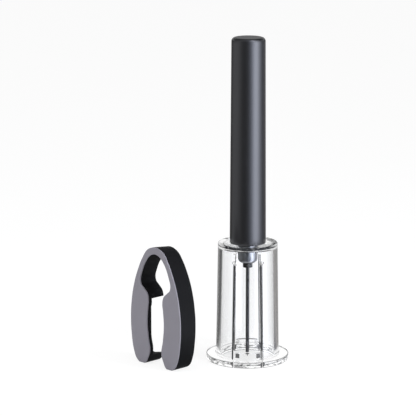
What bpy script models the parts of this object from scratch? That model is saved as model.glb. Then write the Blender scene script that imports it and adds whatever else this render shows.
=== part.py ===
"""Air pump wine opener with its foil cutter, at real size in metres.

The opener stands on the flange of its clear neck housing. A hollow needle hangs from the
housing's top plate, and a long closed handle slides over the pump barrel above it. The foil
cutter stands beside it on the ends of its two arms.
"""

import math

import bmesh
import bpy
from mathutils import Matrix, Vector

MM = 0.001
FULL_TURN = 2 * math.pi
MERGE = 0.01 * MM

# Clearances
FIT_GAP = 0.3 * MM
RUNNING_GAP = 0.4 * MM
CUT_OVERRUN = 2.0 * MM

# Clear neck housing
FLANGE_RADIUS = 25.4 * MM
FLANGE_THICKNESS = 3.6 * MM
FLANGE_EDGE = 0.5 * MM
HOUSING_FOOT_RADIUS = 19.4 * MM
HOUSING_RIM_RADIUS = 18.3 * MM
HOUSING_HEIGHT = 72.85 * MM
HOUSING_WALL = 2.6 * MM
HOUSING_TOP_PLATE = 1.8 * MM
HOUSING_RIM_ROUND = 0.9 * MM
HOUSING_FOOT_FILLET = 1.0 * MM
HOUSING_MOUTH_CHAMFER = 0.8 * MM
HOUSING_INNER_FILLET = 1.2 * MM
TONGUE_HALF_WIDTH_AT_FOOT = 9.1 * MM
TONGUE_TAPER = math.radians(0.8)
SLIT_WIDTH = 1.4 * MM
SLIT_END_RADIUS = 1.4 * MM
SLIT_END_TO_RIM = 9.3 * MM
LEDGE_HEIGHT = 8.2 * MM
LEDGE_RISE = 0.7 * MM
LEDGE_DEPTH = 1.3 * MM
LEDGE_HALF_WIDTH = 7.0 * MM
TOOTH_INNER_SIDE = 5.2 * MM
TOOTH_WIDTH = 1.6 * MM
TOOTH_BASE = 3.8 * MM
TOOTH_HEIGHT = 2.6 * MM
TOOTH_FROM_AXIS = 14.3 * MM
TOOTH_REACH = 2.7 * MM

# Pump barrel with its spigot through the top plate
BARREL_RADIUS = 8.5 * MM
BARREL_WALL = 1.1 * MM
BARREL_FLOOR = 2.5 * MM
BARREL_GASKET_THICKNESS = 0.8 * MM
SPIGOT_WALL = 1.9 * MM
SPIGOT_REACH = 5.3 * MM
VALVE_SEAT_RADIUS = 0.9 * MM
VALVE_SEAT_THICKNESS = 4.9 * MM
VALVE_BALL_RADIUS = 1.6 * MM
VALVE_BALL_CLEARANCE = 0.5 * MM
SPRING_CLEARANCE = 0.45 * MM
SPRING_WIRE_RADIUS = 0.2 * MM
SPRING_TURNS = 3.5
SPRING_POINTS_PER_TURN = 10

# Guide cap in the barrel's upper end
BARREL_CAP_FLANGE = 2.0 * MM
BARREL_CAP_PLUG = 6.0 * MM
VENT_RADIUS = 0.6 * MM
VENT_COUNT = 3

# Needle, its holder and collar
HOLDER_WALL = 1.7 * MM
HOLDER_FLOOR = 2.3 * MM
HOLDER_ROUND = 2.6 * MM
HOLDER_TOP_EDGE = 0.5 * MM
HOLDER_SEAL_THICKNESS = 0.8 * MM
HOLDER_SEAL_WIDTH = 1.5 * MM
COLLAR_ACROSS_FLATS = 5.8 * MM
COLLAR_HEIGHT = 2.7 * MM
NEEDLE_RADIUS = 1.1 * MM
NEEDLE_BORE_RADIUS = 0.5 * MM
NEEDLE_HEAD_INSET = 1.1 * MM
NEEDLE_HEAD_THICKNESS = 0.8 * MM
NEEDLE_TIP_ABOVE_FLOOR = 0.6 * MM
NEEDLE_POINT_LENGTH = 2.6 * MM
NEEDLE_POINT_RADIUS = 0.45 * MM
NEEDLE_SHOULDER_LENGTH = 0.5 * MM
NEEDLE_OUTLET_RADIUS = 0.4 * MM
NEEDLE_OUTLET_HEIGHT = 9.0 * MM
NEEDLE_BORE_PAST_OUTLET = 1.0 * MM

# Handle
HANDLE_LENGTH = 126.8 * MM
HANDLE_ABOVE_HOUSING = 0.35 * MM
HANDLE_ROUND_BARREL = 0.95 * MM
HANDLE_FLARE = 0.75 * MM
HANDLE_WALL = 0.9 * MM
HANDLE_END_WALL = 1.6 * MM
HANDLE_END_ROUND = 2.4 * MM
HANDLE_LOWER_EDGE = 0.5 * MM
BUSH_LENGTH = 12.0 * MM
BUSH_INSET = 0.6 * MM
PLUG_THICKNESS = 4.0 * MM
PLUG_ABOVE_BARREL_CAP = 1.3 * MM

# Piston rod and piston
ROD_RADIUS = 2.5 * MM
ROD_THREAD_RADIUS = 1.75 * MM
ROD_END_CHAMFER = 0.4 * MM
ROD_THREAD_STANDOUT = 0.4 * MM
NUT_ACROSS_FLATS = 5.5 * MM
NUT_HEIGHT = 2.2 * MM
PISTON_DISC_CLEARANCE = 0.5 * MM
PISTON_DISC_THICKNESS = 3.0 * MM
CUP_BASE = 1.2 * MM
CUP_HEIGHT = 4.0 * MM
CUP_LIP = 1.0 * MM
PISTON_FLOOR_MARGIN = 1.0 * MM

# Foil cutter
POCKET_WIDTH = 35.0 * MM
POCKET_HEIGHT = 35.6 * MM
POCKET_CORNER = 3.5 * MM
POCKET_FLOOR_FALL = 2.4 * MM
ARM_WALL = 4.5 * MM
LEG_BELOW_POCKET = 5.9 * MM
BOW_ABOVE_POCKET = 33.4 * MM
ARM_GAP = 11.4 * MM
ARM_GAP_WAIST = 1.5 * MM
CUTTER_BODY_THICKNESS = 12.0 * MM
CUTTER_FACE_THICKNESS = 0.9 * MM
CUTTER_EDGE = 0.2 * MM
LIP_THICKNESS = 2.0 * MM
FOOT_FLAT_DEPTH = 0.25 * MM
FACE_FOOT_LIFT = 0.3 * MM
WHEEL_RADIUS = 3.2 * MM
WHEEL_HUB_RADIUS = 1.9 * MM
WHEEL_HUB_THICKNESS = 1.6 * MM
WHEEL_DISC_THICKNESS = 0.5 * MM
WHEEL_EDGE_THICKNESS = 0.1 * MM
WHEEL_EDGE_BEVEL = 0.8 * MM
WHEEL_END_MARGIN = 1.3 * MM
WHEEL_BEHIND_LIP = 4.2 * MM
PIN_RADIUS = 0.8 * MM
PIN_HEAD_RADIUS = 1.6 * MM
PIN_HEAD_THICKNESS = 0.7 * MM
PIN_FRONT_COVER = 1.2 * MM

# Where the foil cutter stands: from the opener's axis, and how far it is turned
CUTTER_LEFT_OF_OPENER = 51.9 * MM
CUTTER_BEFORE_OPENER = 16.0 * MM
CUTTER_TURN = math.radians(-45.5)

# Roundness of the turned pieces
STEPS_LARGE = 60
STEPS_MEDIUM = 36
STEPS_SMALL = 16
ARC_POINTS = 4
ROUND_ARC_POINTS = 6
CURVE_RESOLUTION = 3
SHARP_ANGLE = 40

# The outer edge of one half of the foil cutter, from the crown of the bow to the arm's end,
# as shares of its half width and of its height
OUTER_EDGE_SHARES = (
    (0.0, 1.0),
    (0.191, 0.988),
    (0.341, 0.961),
    (0.48, 0.908),
    (0.673, 0.803),
    (0.87, 0.648),
    (0.977, 0.483),
    (1.0, 0.371),
    (0.97, 0.227),
    (0.88, 0.095),
    (0.745, 0.024),
    (0.54, 0.0),
)
# The bow's thickness at the first of those points, from the crown down
BOW_THICKNESSES = (4.3 * MM, 4.2 * MM, 4.1 * MM, 3.5 * MM, 3.45 * MM)
# The inner edge of one arm, from its end up to the shoulder under the bow: the widening
# beyond half the arm gap as a share of the waist, and the height as a share of the height
# of the pocket's top
ARM_EDGE_SHARES = (
    (2.2, 0.026),
    (0.85, 0.105),
    (-0.3, 0.215),
    (0.6, 0.42),
    (1.2, 0.64),
    (0.8, 0.86),
    (0.38, 0.995),
    (1.1, 1.088),
    (2.9, 1.15),
    (4.9, 1.225),
)

# Sizes that follow from the ones above
BARREL_BASE = HOUSING_HEIGHT + 2 * FIT_GAP + BARREL_GASKET_THICKNESS
BARREL_BORE = BARREL_RADIUS - BARREL_WALL
PISTON_DISC_RADIUS = BARREL_BORE - PISTON_DISC_CLEARANCE
HANDLE_UPPER_RADIUS = BARREL_RADIUS + HANDLE_ROUND_BARREL + HANDLE_WALL
HANDLE_LOWER_RADIUS = HANDLE_UPPER_RADIUS + HANDLE_FLARE
VALVE_CHAMBER_RADIUS = VALVE_BALL_RADIUS + VALVE_BALL_CLEARANCE
SPRING_RADIUS = VALVE_CHAMBER_RADIUS - SPRING_CLEARANCE - SPRING_WIRE_RADIUS
SPIGOT_RADIUS = VALVE_CHAMBER_RADIUS + SPIGOT_WALL
HOLDER_RADIUS = SPIGOT_RADIUS + FIT_GAP + HOLDER_WALL
NEEDLE_HEAD_RADIUS = SPIGOT_RADIUS - NEEDLE_HEAD_INSET
PLATE_UNDERSIDE = HOUSING_HEIGHT - HOUSING_TOP_PLATE
SPIGOT_END = PLATE_UNDERSIDE - SPIGOT_REACH
NEEDLE_HEAD_TOP = SPIGOT_END - 2 * FIT_GAP - HOLDER_SEAL_THICKNESS
HOLDER_FLOOR_TOP = NEEDLE_HEAD_TOP - NEEDLE_HEAD_THICKNESS - FIT_GAP
HOLDER_BASE = HOLDER_FLOOR_TOP - HOLDER_FLOOR
BARREL_FLOOR_TOP = BARREL_BASE + BARREL_FLOOR
HANDLE_BASE = HOUSING_HEIGHT + HANDLE_ABOVE_HOUSING
HANDLE_TOP = HANDLE_BASE + HANDLE_LENGTH
PLUG_TOP = HANDLE_TOP - HANDLE_END_WALL - 2 * FIT_GAP - NUT_HEIGHT - ROD_THREAD_STANDOUT
PLUG_BASE = PLUG_TOP - PLUG_THICKNESS
BARREL_CAP_TOP = PLUG_BASE - PLUG_ABOVE_BARREL_CAP
BARREL_TOP = BARREL_CAP_TOP - BARREL_CAP_FLANGE - FIT_GAP
PISTON_BASE = BARREL_FLOOR_TOP + PISTON_FLOOR_MARGIN
CUTTER_HALF_WIDTH = POCKET_WIDTH / 2 + ARM_WALL
POCKET_CENTRE = LEG_BELOW_POCKET + POCKET_HEIGHT / 2
POCKET_TOP = LEG_BELOW_POCKET + POCKET_HEIGHT
CUTTER_HEIGHT = POCKET_TOP + BOW_ABOVE_POCKET
CUTTER_THICKNESS = CUTTER_BODY_THICKNESS + FIT_GAP + CUTTER_FACE_THICKNESS
BODY_MIDDLE = (CUTTER_THICKNESS - CUTTER_BODY_THICKNESS) / 2
BODY_FRONT = BODY_MIDDLE - CUTTER_BODY_THICKNESS / 2


def standing_places():
    """Places of the opener and the foil cutter that centre the pair's footprint on the origin."""
    half_depth = CUTTER_THICKNESS / 2
    turn_cos, turn_sin = abs(math.cos(CUTTER_TURN)), abs(math.sin(CUTTER_TURN))
    edge = CUTTER_EDGE * min(turn_cos, turn_sin)
    reach_x = CUTTER_HALF_WIDTH * turn_cos + half_depth * turn_sin - edge
    reach_y = CUTTER_HALF_WIDTH * turn_sin + half_depth * turn_cos - edge
    left = min(-FLANGE_RADIUS, -CUTTER_LEFT_OF_OPENER - reach_x)
    right = max(FLANGE_RADIUS, -CUTTER_LEFT_OF_OPENER + reach_x)
    front = min(-FLANGE_RADIUS, -CUTTER_BEFORE_OPENER - reach_y)
    back = max(FLANGE_RADIUS, -CUTTER_BEFORE_OPENER + reach_y)
    opener = Vector((-(left + right) / 2, -(front + back) / 2, 0))
    cutter = opener - Vector((CUTTER_LEFT_OF_OPENER, CUTTER_BEFORE_OPENER, 0))
    return opener, cutter


def clear_scene():
    for obj in list(bpy.data.objects):
        bpy.data.objects.remove(obj, do_unlink=True)


def make_collection(name):
    collection = bpy.data.collections.new(name)
    bpy.context.scene.collection.children.link(collection)
    return collection


clear_scene()
PARTS = make_collection("air_pump_wine_opener")
TOOLS = make_collection("cutting_shapes")


def make_material(name, color, roughness, metallic=0.0, transmission=0.0):
    material = bpy.data.materials.new(name)
    material.use_nodes = True
    shader = material.node_tree.nodes["Principled BSDF"]
    shader.inputs["Base Color"].default_value = (*color, 1.0)
    shader.inputs["Roughness"].default_value = roughness
    shader.inputs["Metallic"].default_value = metallic
    shader.inputs["Transmission Weight"].default_value = transmission
    material.diffuse_color = (*color, 1.0)
    return material


CLEAR = {"color": (0.95, 0.96, 0.96), "roughness": 0.03, "transmission": 1.0}
BLACK_ALUMINIUM = {"color": (0.05, 0.05, 0.055), "roughness": 0.35, "metallic": 0.6}
WHITE_PLASTIC = {"color": (0.78, 0.78, 0.76), "roughness": 0.4}
BLACK_PLASTIC = {"color": (0.02, 0.02, 0.022), "roughness": 0.4}
BRIGHT_METAL = {"color": (0.72, 0.72, 0.74), "roughness": 0.2, "metallic": 1.0}
STEEL = {"color": (0.55, 0.55, 0.57), "roughness": 0.25, "metallic": 1.0}
DARK_NEEDLE = {"color": (0.08, 0.08, 0.09), "roughness": 0.3, "metallic": 0.6}
RUBBER = {"color": (0.03, 0.03, 0.03), "roughness": 0.7}
GREY_PLASTIC = {"color": (0.26, 0.25, 0.29), "roughness": 0.5}


def make_empty(name, location, turn=0.0):
    empty = bpy.data.objects.new(name, None)
    empty.empty_display_size = HOUSING_RIM_RADIUS
    empty.location = location
    empty.rotation_euler = (0, 0, turn)
    PARTS.objects.link(empty)
    return empty


def add_object(name, data, parent, location=(0, 0, 0), rotation=(0, 0, 0), look=None):
    """A part when it has a look, and otherwise a hidden cutting shape."""
    obj = bpy.data.objects.new(name, data)
    obj.parent = parent
    obj.location = location
    obj.rotation_euler = rotation
    if look is None:
        TOOLS.objects.link(obj)
        obj.hide_render = True
        obj.display_type = "WIRE"
    else:
        PARTS.objects.link(obj)
        data.materials.append(make_material(name, **look))
    return obj


def cut(obj, tool, operation="DIFFERENCE"):
    modifier = obj.modifiers.new(tool.name, "BOOLEAN")
    modifier.operation = operation
    modifier.solver = "EXACT"
    modifier.object = tool


def arc(centre, radius, start, end, count=ARC_POINTS):
    """Profile points along an arc, with angles in degrees from the outward direction."""
    points = []
    for index in range(count):
        angle = math.radians(start + (end - start) * index / (count - 1))
        points.append((centre[0] + radius * math.cos(angle), centre[1] + radius * math.sin(angle)))
    return points


def turned(name, profile, parent, height=0.0, look=None, steps=STEPS_MEDIUM, closed=True,
           rotation=(0, 0, 0), location=None):
    """A turned shape: a profile of (radius, height) points that runs down its outer side."""
    mesh = bpy.data.meshes.new(name)
    edges = [(index, index + 1) for index in range(len(profile) - 1)]
    if closed:
        edges.append((len(profile) - 1, 0))
    mesh.from_pydata([(radius, 0, z) for radius, z in profile], edges, [])
    place = (0, 0, height) if location is None else location
    obj = add_object(name, mesh, parent, place, rotation, look)
    screw = obj.modifiers.new("turn", "SCREW")
    screw.axis = "Z"
    screw.angle = FULL_TURN
    screw.steps = screw.render_steps = steps
    screw.use_merge_vertices = True
    screw.merge_threshold = MERGE
    screw.use_smooth_shade = True
    return obj


def ring(name, outer, inner, thickness, parent, height=0.0, look=None, steps=STEPS_MEDIUM):
    profile = [(outer, thickness), (outer, 0), (inner, 0), (inner, thickness)]
    return turned(name, profile, parent, height, look, steps)


def cylinder_mesh(name, radius, length, sides):
    """A capped cylinder or prism that stands on its own origin."""
    shape = bmesh.new()
    bmesh.ops.create_cone(
        shape, cap_ends=True, segments=sides, radius1=radius, radius2=radius, depth=length,
        matrix=Matrix.Translation((0, 0, length / 2)),
    )
    mesh = bpy.data.meshes.new(name)
    shape.to_mesh(mesh)
    shape.free()
    return mesh


def rod(name, radius, length, parent, location, rotation=(0, 0, 0), look=None, steps=STEPS_SMALL):
    mesh = cylinder_mesh(name, radius, length, steps)
    mesh.shade_smooth()
    mesh.set_sharp_from_angle(angle=math.radians(SHARP_ANGLE))
    return add_object(name, mesh, parent, location, rotation, look)


def box(name, low, high, parent, location=(0, 0, 0), rotation=(0, 0, 0)):
    """A cutting box between two corners."""
    shape = bmesh.new()
    bmesh.ops.create_cube(shape, size=1)
    size = Vector(high) - Vector(low)
    bmesh.ops.scale(shape, vec=size, verts=shape.verts)
    bmesh.ops.translate(shape, vec=Vector(low) + size / 2, verts=shape.verts)
    mesh = bpy.data.meshes.new(name)
    shape.to_mesh(mesh)
    shape.free()
    return add_object(name, mesh, parent, location, rotation)


def hex_nut(name, across_flats, thickness, bore, parent, height, look):
    """A six-sided nut with a plain bore, whose threads are left out."""
    corner = across_flats / (2 * math.cos(math.radians(30)))
    nut = add_object(name, cylinder_mesh(name, corner, thickness, 6), parent, (0, 0, height), look=look)
    drill = rod(
        name + "_bore", bore, thickness + 2 * CUT_OVERRUN, parent,
        (0, 0, height - CUT_OVERRUN),
    )
    cut(nut, drill)
    return nut


def clear_housing(axis):
    """Clear sleeve for the bottle's neck, with two tongues between slits that run from round
    ends down through the wall and the flange, and a ledge and two teeth inside each tongue."""
    bore = SPIGOT_RADIUS + FIT_GAP
    mouth = HOUSING_FOOT_RADIUS - HOUSING_WALL
    ceiling = HOUSING_RIM_RADIUS - HOUSING_WALL
    rim_round = (HOUSING_RIM_RADIUS - HOUSING_RIM_ROUND, HOUSING_HEIGHT - HOUSING_RIM_ROUND)
    foot_fillet = (HOUSING_FOOT_RADIUS + HOUSING_FOOT_FILLET, FLANGE_THICKNESS + HOUSING_FOOT_FILLET)
    inner_fillet = (ceiling - HOUSING_INNER_FILLET, PLATE_UNDERSIDE - HOUSING_INNER_FILLET)
    profile = [(bore, HOUSING_HEIGHT)]
    profile += arc(rim_round, HOUSING_RIM_ROUND, 90, 0)
    profile += arc(foot_fillet, HOUSING_FOOT_FILLET, 180, 270)
    profile += [
        (FLANGE_RADIUS - FLANGE_EDGE, FLANGE_THICKNESS),
        (FLANGE_RADIUS, FLANGE_THICKNESS - FLANGE_EDGE),
        (FLANGE_RADIUS, FLANGE_EDGE),
        (FLANGE_RADIUS - FLANGE_EDGE, 0),
        (mouth + HOUSING_MOUTH_CHAMFER, 0),
        (mouth, HOUSING_MOUTH_CHAMFER),
    ]
    profile += arc(inner_fillet, HOUSING_INNER_FILLET, 0, 90)
    profile += [(bore, PLATE_UNDERSIDE)]
    housing = turned("clear_housing", profile, axis, look=CLEAR, steps=STEPS_LARGE)
    cut(housing, tongue_ledge(axis, mouth, ceiling), "UNION")
    for front, depth_name in ((1, "back"), (-1, "front")):
        for side, side_name in ((1, "right"), (-1, "left")):
            tooth = tongue_tooth(f"tooth_{depth_name}_{side_name}", axis, front, side)
            cut(housing, tooth, "UNION")
    reach = FLANGE_RADIUS + CUT_OVERRUN
    top = HOUSING_HEIGHT - SLIT_END_TO_RIM
    low, high = (-SLIT_WIDTH / 2, -reach, -CUT_OVERRUN), (SLIT_WIDTH / 2, reach, top)
    end = TONGUE_HALF_WIDTH_AT_FOOT - top * math.tan(TONGUE_TAPER)
    for side, name in ((1, "right"), (-1, "left")):
        foot = (side * TONGUE_HALF_WIDTH_AT_FOOT, 0, 0)
        cut(housing, box("slits_" + name, low, high, axis, foot, (0, -side * TONGUE_TAPER, 0)))
        cut(housing, rod("slit_ends_" + name, SLIT_END_RADIUS, 2 * reach, axis,
                         (side * end, reach, top), (math.radians(90), 0, 0)))
    return housing


def tongue_ledge(axis, mouth, ceiling):
    """Low rounded ledge inside both tongues that snaps under the lip of the bottle."""
    share = LEDGE_HEIGHT / PLATE_UNDERSIDE
    wall = mouth + (ceiling - mouth) * share
    root = wall + HOUSING_WALL / 2
    half = LEDGE_DEPTH / 2
    profile = [(root, half), (root, -half), (wall, -half), (wall - LEDGE_RISE, 0), (wall, half)]
    ledge = turned("tongue_ledge", profile, axis, LEDGE_HEIGHT, steps=STEPS_LARGE)
    low = (-LEDGE_HALF_WIDTH, -FLANGE_RADIUS, LEDGE_HEIGHT - LEDGE_DEPTH)
    high = (LEDGE_HALF_WIDTH, FLANGE_RADIUS, LEDGE_HEIGHT + LEDGE_DEPTH)
    cut(ledge, box("tongue_ledge_span", low, high, axis), "INTERSECT")
    return ledge


def tongue_tooth(name, axis, front, side):
    """Small square tooth below the ledge, let into the wall."""
    sides = sorted((side * TOOTH_INNER_SIDE, side * (TOOTH_INNER_SIDE + TOOTH_WIDTH)))
    depths = sorted((front * TOOTH_FROM_AXIS, front * (TOOTH_FROM_AXIS + TOOTH_REACH)))
    low = (sides[0], depths[0], TOOTH_BASE)
    high = (sides[1], depths[1], TOOTH_BASE + TOOTH_HEIGHT)
    return box(name, low, high, axis)


def needle_group(axis):
    """Holder, collar, needle and seal under the housing's top plate."""
    hole = NEEDLE_RADIUS + FIT_GAP
    socket = SPIGOT_RADIUS + FIT_GAP
    holder_height = PLATE_UNDERSIDE - FIT_GAP - HOLDER_BASE
    profile = [(HOLDER_RADIUS - HOLDER_TOP_EDGE, holder_height)]
    profile += [(HOLDER_RADIUS, holder_height - HOLDER_TOP_EDGE)]
    profile += arc((HOLDER_RADIUS - HOLDER_ROUND, HOLDER_ROUND), HOLDER_ROUND, 0, -90, ROUND_ARC_POINTS)
    profile += [(hole, 0), (hole, HOLDER_FLOOR), (socket, HOLDER_FLOOR), (socket, holder_height)]
    turned("needle_holder", profile, axis, HOLDER_BASE, BRIGHT_METAL)

    collar_base = HOLDER_BASE - FIT_GAP - COLLAR_HEIGHT
    hex_nut("needle_collar", COLLAR_ACROSS_FLATS, COLLAR_HEIGHT, hole, axis, collar_base, BLACK_PLASTIC)

    length = NEEDLE_HEAD_TOP - NEEDLE_TIP_ABOVE_FLOOR
    outlet = NEEDLE_OUTLET_HEIGHT - NEEDLE_TIP_ABOVE_FLOOR
    bore_end = outlet - NEEDLE_BORE_PAST_OUTLET
    shoulder = NEEDLE_POINT_LENGTH + NEEDLE_SHOULDER_LENGTH
    profile = [
        (0, bore_end),
        (NEEDLE_BORE_RADIUS, bore_end),
        (NEEDLE_BORE_RADIUS, length),
        (NEEDLE_HEAD_RADIUS, length),
        (NEEDLE_HEAD_RADIUS, length - NEEDLE_HEAD_THICKNESS),
        (NEEDLE_RADIUS, length - NEEDLE_HEAD_THICKNESS),
        (NEEDLE_RADIUS, shoulder),
        (NEEDLE_POINT_RADIUS, NEEDLE_POINT_LENGTH),
        (0, 0),
    ]
    needle = turned(
        "air_needle", profile, axis, NEEDLE_TIP_ABOVE_FLOOR, DARK_NEEDLE, STEPS_SMALL, closed=False
    )
    drill = rod(
        "needle_outlet", NEEDLE_OUTLET_RADIUS, NEEDLE_RADIUS + CUT_OVERRUN, axis,
        (0, 0, NEEDLE_OUTLET_HEIGHT), (math.radians(90), 0, math.radians(90)),
    )
    cut(needle, drill)

    ring(
        "holder_seal", SPIGOT_RADIUS, SPIGOT_RADIUS - HOLDER_SEAL_WIDTH, HOLDER_SEAL_THICKNESS,
        axis, NEEDLE_HEAD_TOP + FIT_GAP, RUBBER, STEPS_SMALL,
    )


def pump_barrel(axis):
    """Barrel whose floor carries the valve seat and a spigot down through the top plate."""
    top = BARREL_TOP - BARREL_BASE
    spigot_end = SPIGOT_END - BARREL_BASE
    seat_base = BARREL_FLOOR - VALVE_SEAT_THICKNESS
    profile = [
        (BARREL_RADIUS, top),
        (BARREL_RADIUS, 0),
        (SPIGOT_RADIUS, 0),
        (SPIGOT_RADIUS, spigot_end),
        (VALVE_CHAMBER_RADIUS, spigot_end),
        (VALVE_CHAMBER_RADIUS, seat_base),
        (VALVE_SEAT_RADIUS, seat_base),
        (VALVE_SEAT_RADIUS, BARREL_FLOOR),
        (BARREL_BORE, BARREL_FLOOR),
        (BARREL_BORE, top),
    ]
    turned("pump_barrel", profile, axis, BARREL_BASE, WHITE_PLASTIC)
    ring(
        "barrel_gasket", BARREL_RADIUS - FIT_GAP, SPIGOT_RADIUS + FIT_GAP, BARREL_GASKET_THICKNESS,
        axis, HOUSING_HEIGHT + FIT_GAP, RUBBER,
    )


def barrel_cap(axis):
    """Cap that guides the piston rod and vents the space above the piston."""
    guide = ROD_RADIUS + FIT_GAP
    plug = BARREL_BORE - FIT_GAP
    top = BARREL_CAP_PLUG + BARREL_CAP_FLANGE
    shoulder = BARREL_CAP_PLUG + FIT_GAP
    profile = [
        (BARREL_RADIUS, top),
        (BARREL_RADIUS, shoulder),
        (plug, shoulder),
        (plug, 0),
        (guide, 0),
        (guide, top),
    ]
    base = BARREL_CAP_TOP - top
    cap = turned("barrel_cap", profile, axis, base, BLACK_PLASTIC)
    vent_circle = (guide + plug) / 2
    for index in range(VENT_COUNT):
        angle = FULL_TURN * index / VENT_COUNT
        place = (vent_circle * math.cos(angle), vent_circle * math.sin(angle), base - CUT_OVERRUN)
        cut(cap, rod(f"cap_vent_{index + 1}", VENT_RADIUS, top + 2 * CUT_OVERRUN, axis, place))


def check_valve(axis):
    """Ball under the valve seat, and the spring that lifts it onto the seat."""
    seat_base = BARREL_FLOOR_TOP - VALVE_SEAT_THICKNESS
    touch = VALVE_BALL_RADIUS + FIT_GAP
    ball_height = seat_base - math.sqrt(touch**2 - VALVE_SEAT_RADIUS**2)
    shape = bmesh.new()
    bmesh.ops.create_uvsphere(
        shape, u_segments=STEPS_SMALL, v_segments=STEPS_SMALL // 2, radius=VALVE_BALL_RADIUS
    )
    mesh = bpy.data.meshes.new("valve_ball")
    shape.to_mesh(mesh)
    shape.free()
    mesh.shade_smooth()
    add_object("valve_ball", mesh, axis, (0, 0, ball_height), look=STEEL)

    low = NEEDLE_HEAD_TOP + FIT_GAP + SPRING_WIRE_RADIUS
    high = ball_height - VALVE_BALL_RADIUS - FIT_GAP - SPRING_WIRE_RADIUS
    curve = bpy.data.curves.new("valve_spring", "CURVE")
    curve.dimensions = "3D"
    curve.bevel_depth = SPRING_WIRE_RADIUS
    curve.bevel_resolution = 1
    curve.use_fill_caps = True
    count = int(SPRING_TURNS * SPRING_POINTS_PER_TURN) + 1
    spline = curve.splines.new("POLY")
    spline.points.add(count - 1)
    for index, point in enumerate(spline.points):
        along = index / (count - 1)
        angle = FULL_TURN * SPRING_TURNS * along
        x, y = SPRING_RADIUS * math.cos(angle), SPRING_RADIUS * math.sin(angle)
        point.co = (x, y, (high - low) * along, 1)
    add_object("valve_spring", curve, axis, (0, 0, low), look=STEEL)


def handle_group(handle):
    """Closed tapered handle, the bush that guides it on the barrel, and the rod's anchor."""
    lower_bore = HANDLE_LOWER_RADIUS - HANDLE_WALL
    upper_bore = HANDLE_UPPER_RADIUS - HANDLE_WALL
    ceiling = HANDLE_LENGTH - HANDLE_END_WALL
    end_round = (HANDLE_UPPER_RADIUS - HANDLE_END_ROUND, HANDLE_LENGTH - HANDLE_END_ROUND)
    lower_round = (HANDLE_LOWER_RADIUS - HANDLE_LOWER_EDGE, HANDLE_LOWER_EDGE)
    profile = [(0, HANDLE_LENGTH)]
    profile += arc(end_round, HANDLE_END_ROUND, 90, 0, ROUND_ARC_POINTS)
    profile += arc(lower_round, HANDLE_LOWER_EDGE, 0, -90)
    profile += [(lower_bore, 0), (upper_bore, ceiling - HANDLE_WALL)]
    profile += [(upper_bore - HANDLE_WALL, ceiling), (0, ceiling)]
    turned("handle_shell", profile, handle, look=BLACK_ALUMINIUM, steps=STEPS_LARGE, closed=False)

    taper = (lower_bore - upper_bore) / (ceiling - HANDLE_WALL)
    bush_outer = lower_bore - taper * (BUSH_INSET + BUSH_LENGTH) - FIT_GAP
    bush_inner = BARREL_RADIUS + RUNNING_GAP
    ring("handle_bush", bush_outer, bush_inner, BUSH_LENGTH, handle, BUSH_INSET, WHITE_PLASTIC)

    thickness = PLUG_TOP - PLUG_BASE
    plug_outer = upper_bore - FIT_GAP
    thread_hole = ROD_THREAD_RADIUS + FIT_GAP
    profile = [
        (plug_outer, thickness),
        (plug_outer, 0),
        (thread_hole, 0),
        (thread_hole, thickness),
    ]
    plug_base = PLUG_BASE - HANDLE_BASE
    turned("handle_plug", profile, handle, plug_base, WHITE_PLASTIC)
    hex_nut("rod_nut", NUT_ACROSS_FLATS, NUT_HEIGHT, thread_hole, handle,
            PLUG_TOP + FIT_GAP - HANDLE_BASE, STEEL)


def piston_group(handle):
    """Rod that hangs from the handle's plug, and the piston with its cup seal."""
    thread_hole = ROD_THREAD_RADIUS + FIT_GAP
    nut_base = PISTON_BASE + CUP_HEIGHT - CUP_BASE - FIT_GAP - NUT_HEIGHT
    disc_base = PISTON_BASE + CUP_HEIGHT + FIT_GAP
    shoulder_low = disc_base + PISTON_DISC_THICKNESS + FIT_GAP
    shoulder_high = PLUG_BASE - FIT_GAP
    rod_base = nut_base - ROD_THREAD_STANDOUT
    rod_top = PLUG_TOP + FIT_GAP + NUT_HEIGHT + ROD_THREAD_STANDOUT
    low, high, length = shoulder_low - rod_base, shoulder_high - rod_base, rod_top - rod_base
    profile = [
        (0, length),
        (ROD_THREAD_RADIUS - ROD_END_CHAMFER, length),
        (ROD_THREAD_RADIUS, length - ROD_END_CHAMFER),
        (ROD_THREAD_RADIUS, high),
        (ROD_RADIUS, high),
        (ROD_RADIUS, low),
        (ROD_THREAD_RADIUS, low),
        (ROD_THREAD_RADIUS, ROD_END_CHAMFER),
        (ROD_THREAD_RADIUS - ROD_END_CHAMFER, 0),
        (0, 0),
    ]
    turned("piston_rod", profile, handle, rod_base - HANDLE_BASE, STEEL, STEPS_SMALL, closed=False)
    ring("piston_disc", PISTON_DISC_RADIUS, thread_hole, PISTON_DISC_THICKNESS, handle,
         disc_base - HANDLE_BASE, WHITE_PLASTIC)
    lip = BARREL_BORE - FIT_GAP
    root = lip - CUP_LIP / 2
    profile = [
        (root, CUP_HEIGHT),
        (lip, 0),
        (lip - CUP_LIP, 0),
        (root - CUP_LIP, CUP_HEIGHT - CUP_BASE),
        (thread_hole, CUP_HEIGHT - CUP_BASE),
        (thread_hole, CUP_HEIGHT),
    ]
    turned("cup_seal", profile, handle, PISTON_BASE - HANDLE_BASE, RUBBER)
    hex_nut("piston_nut", NUT_ACROSS_FLATS, NUT_HEIGHT, thread_hole, handle,
            nut_base - HANDLE_BASE, STEEL)


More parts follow.
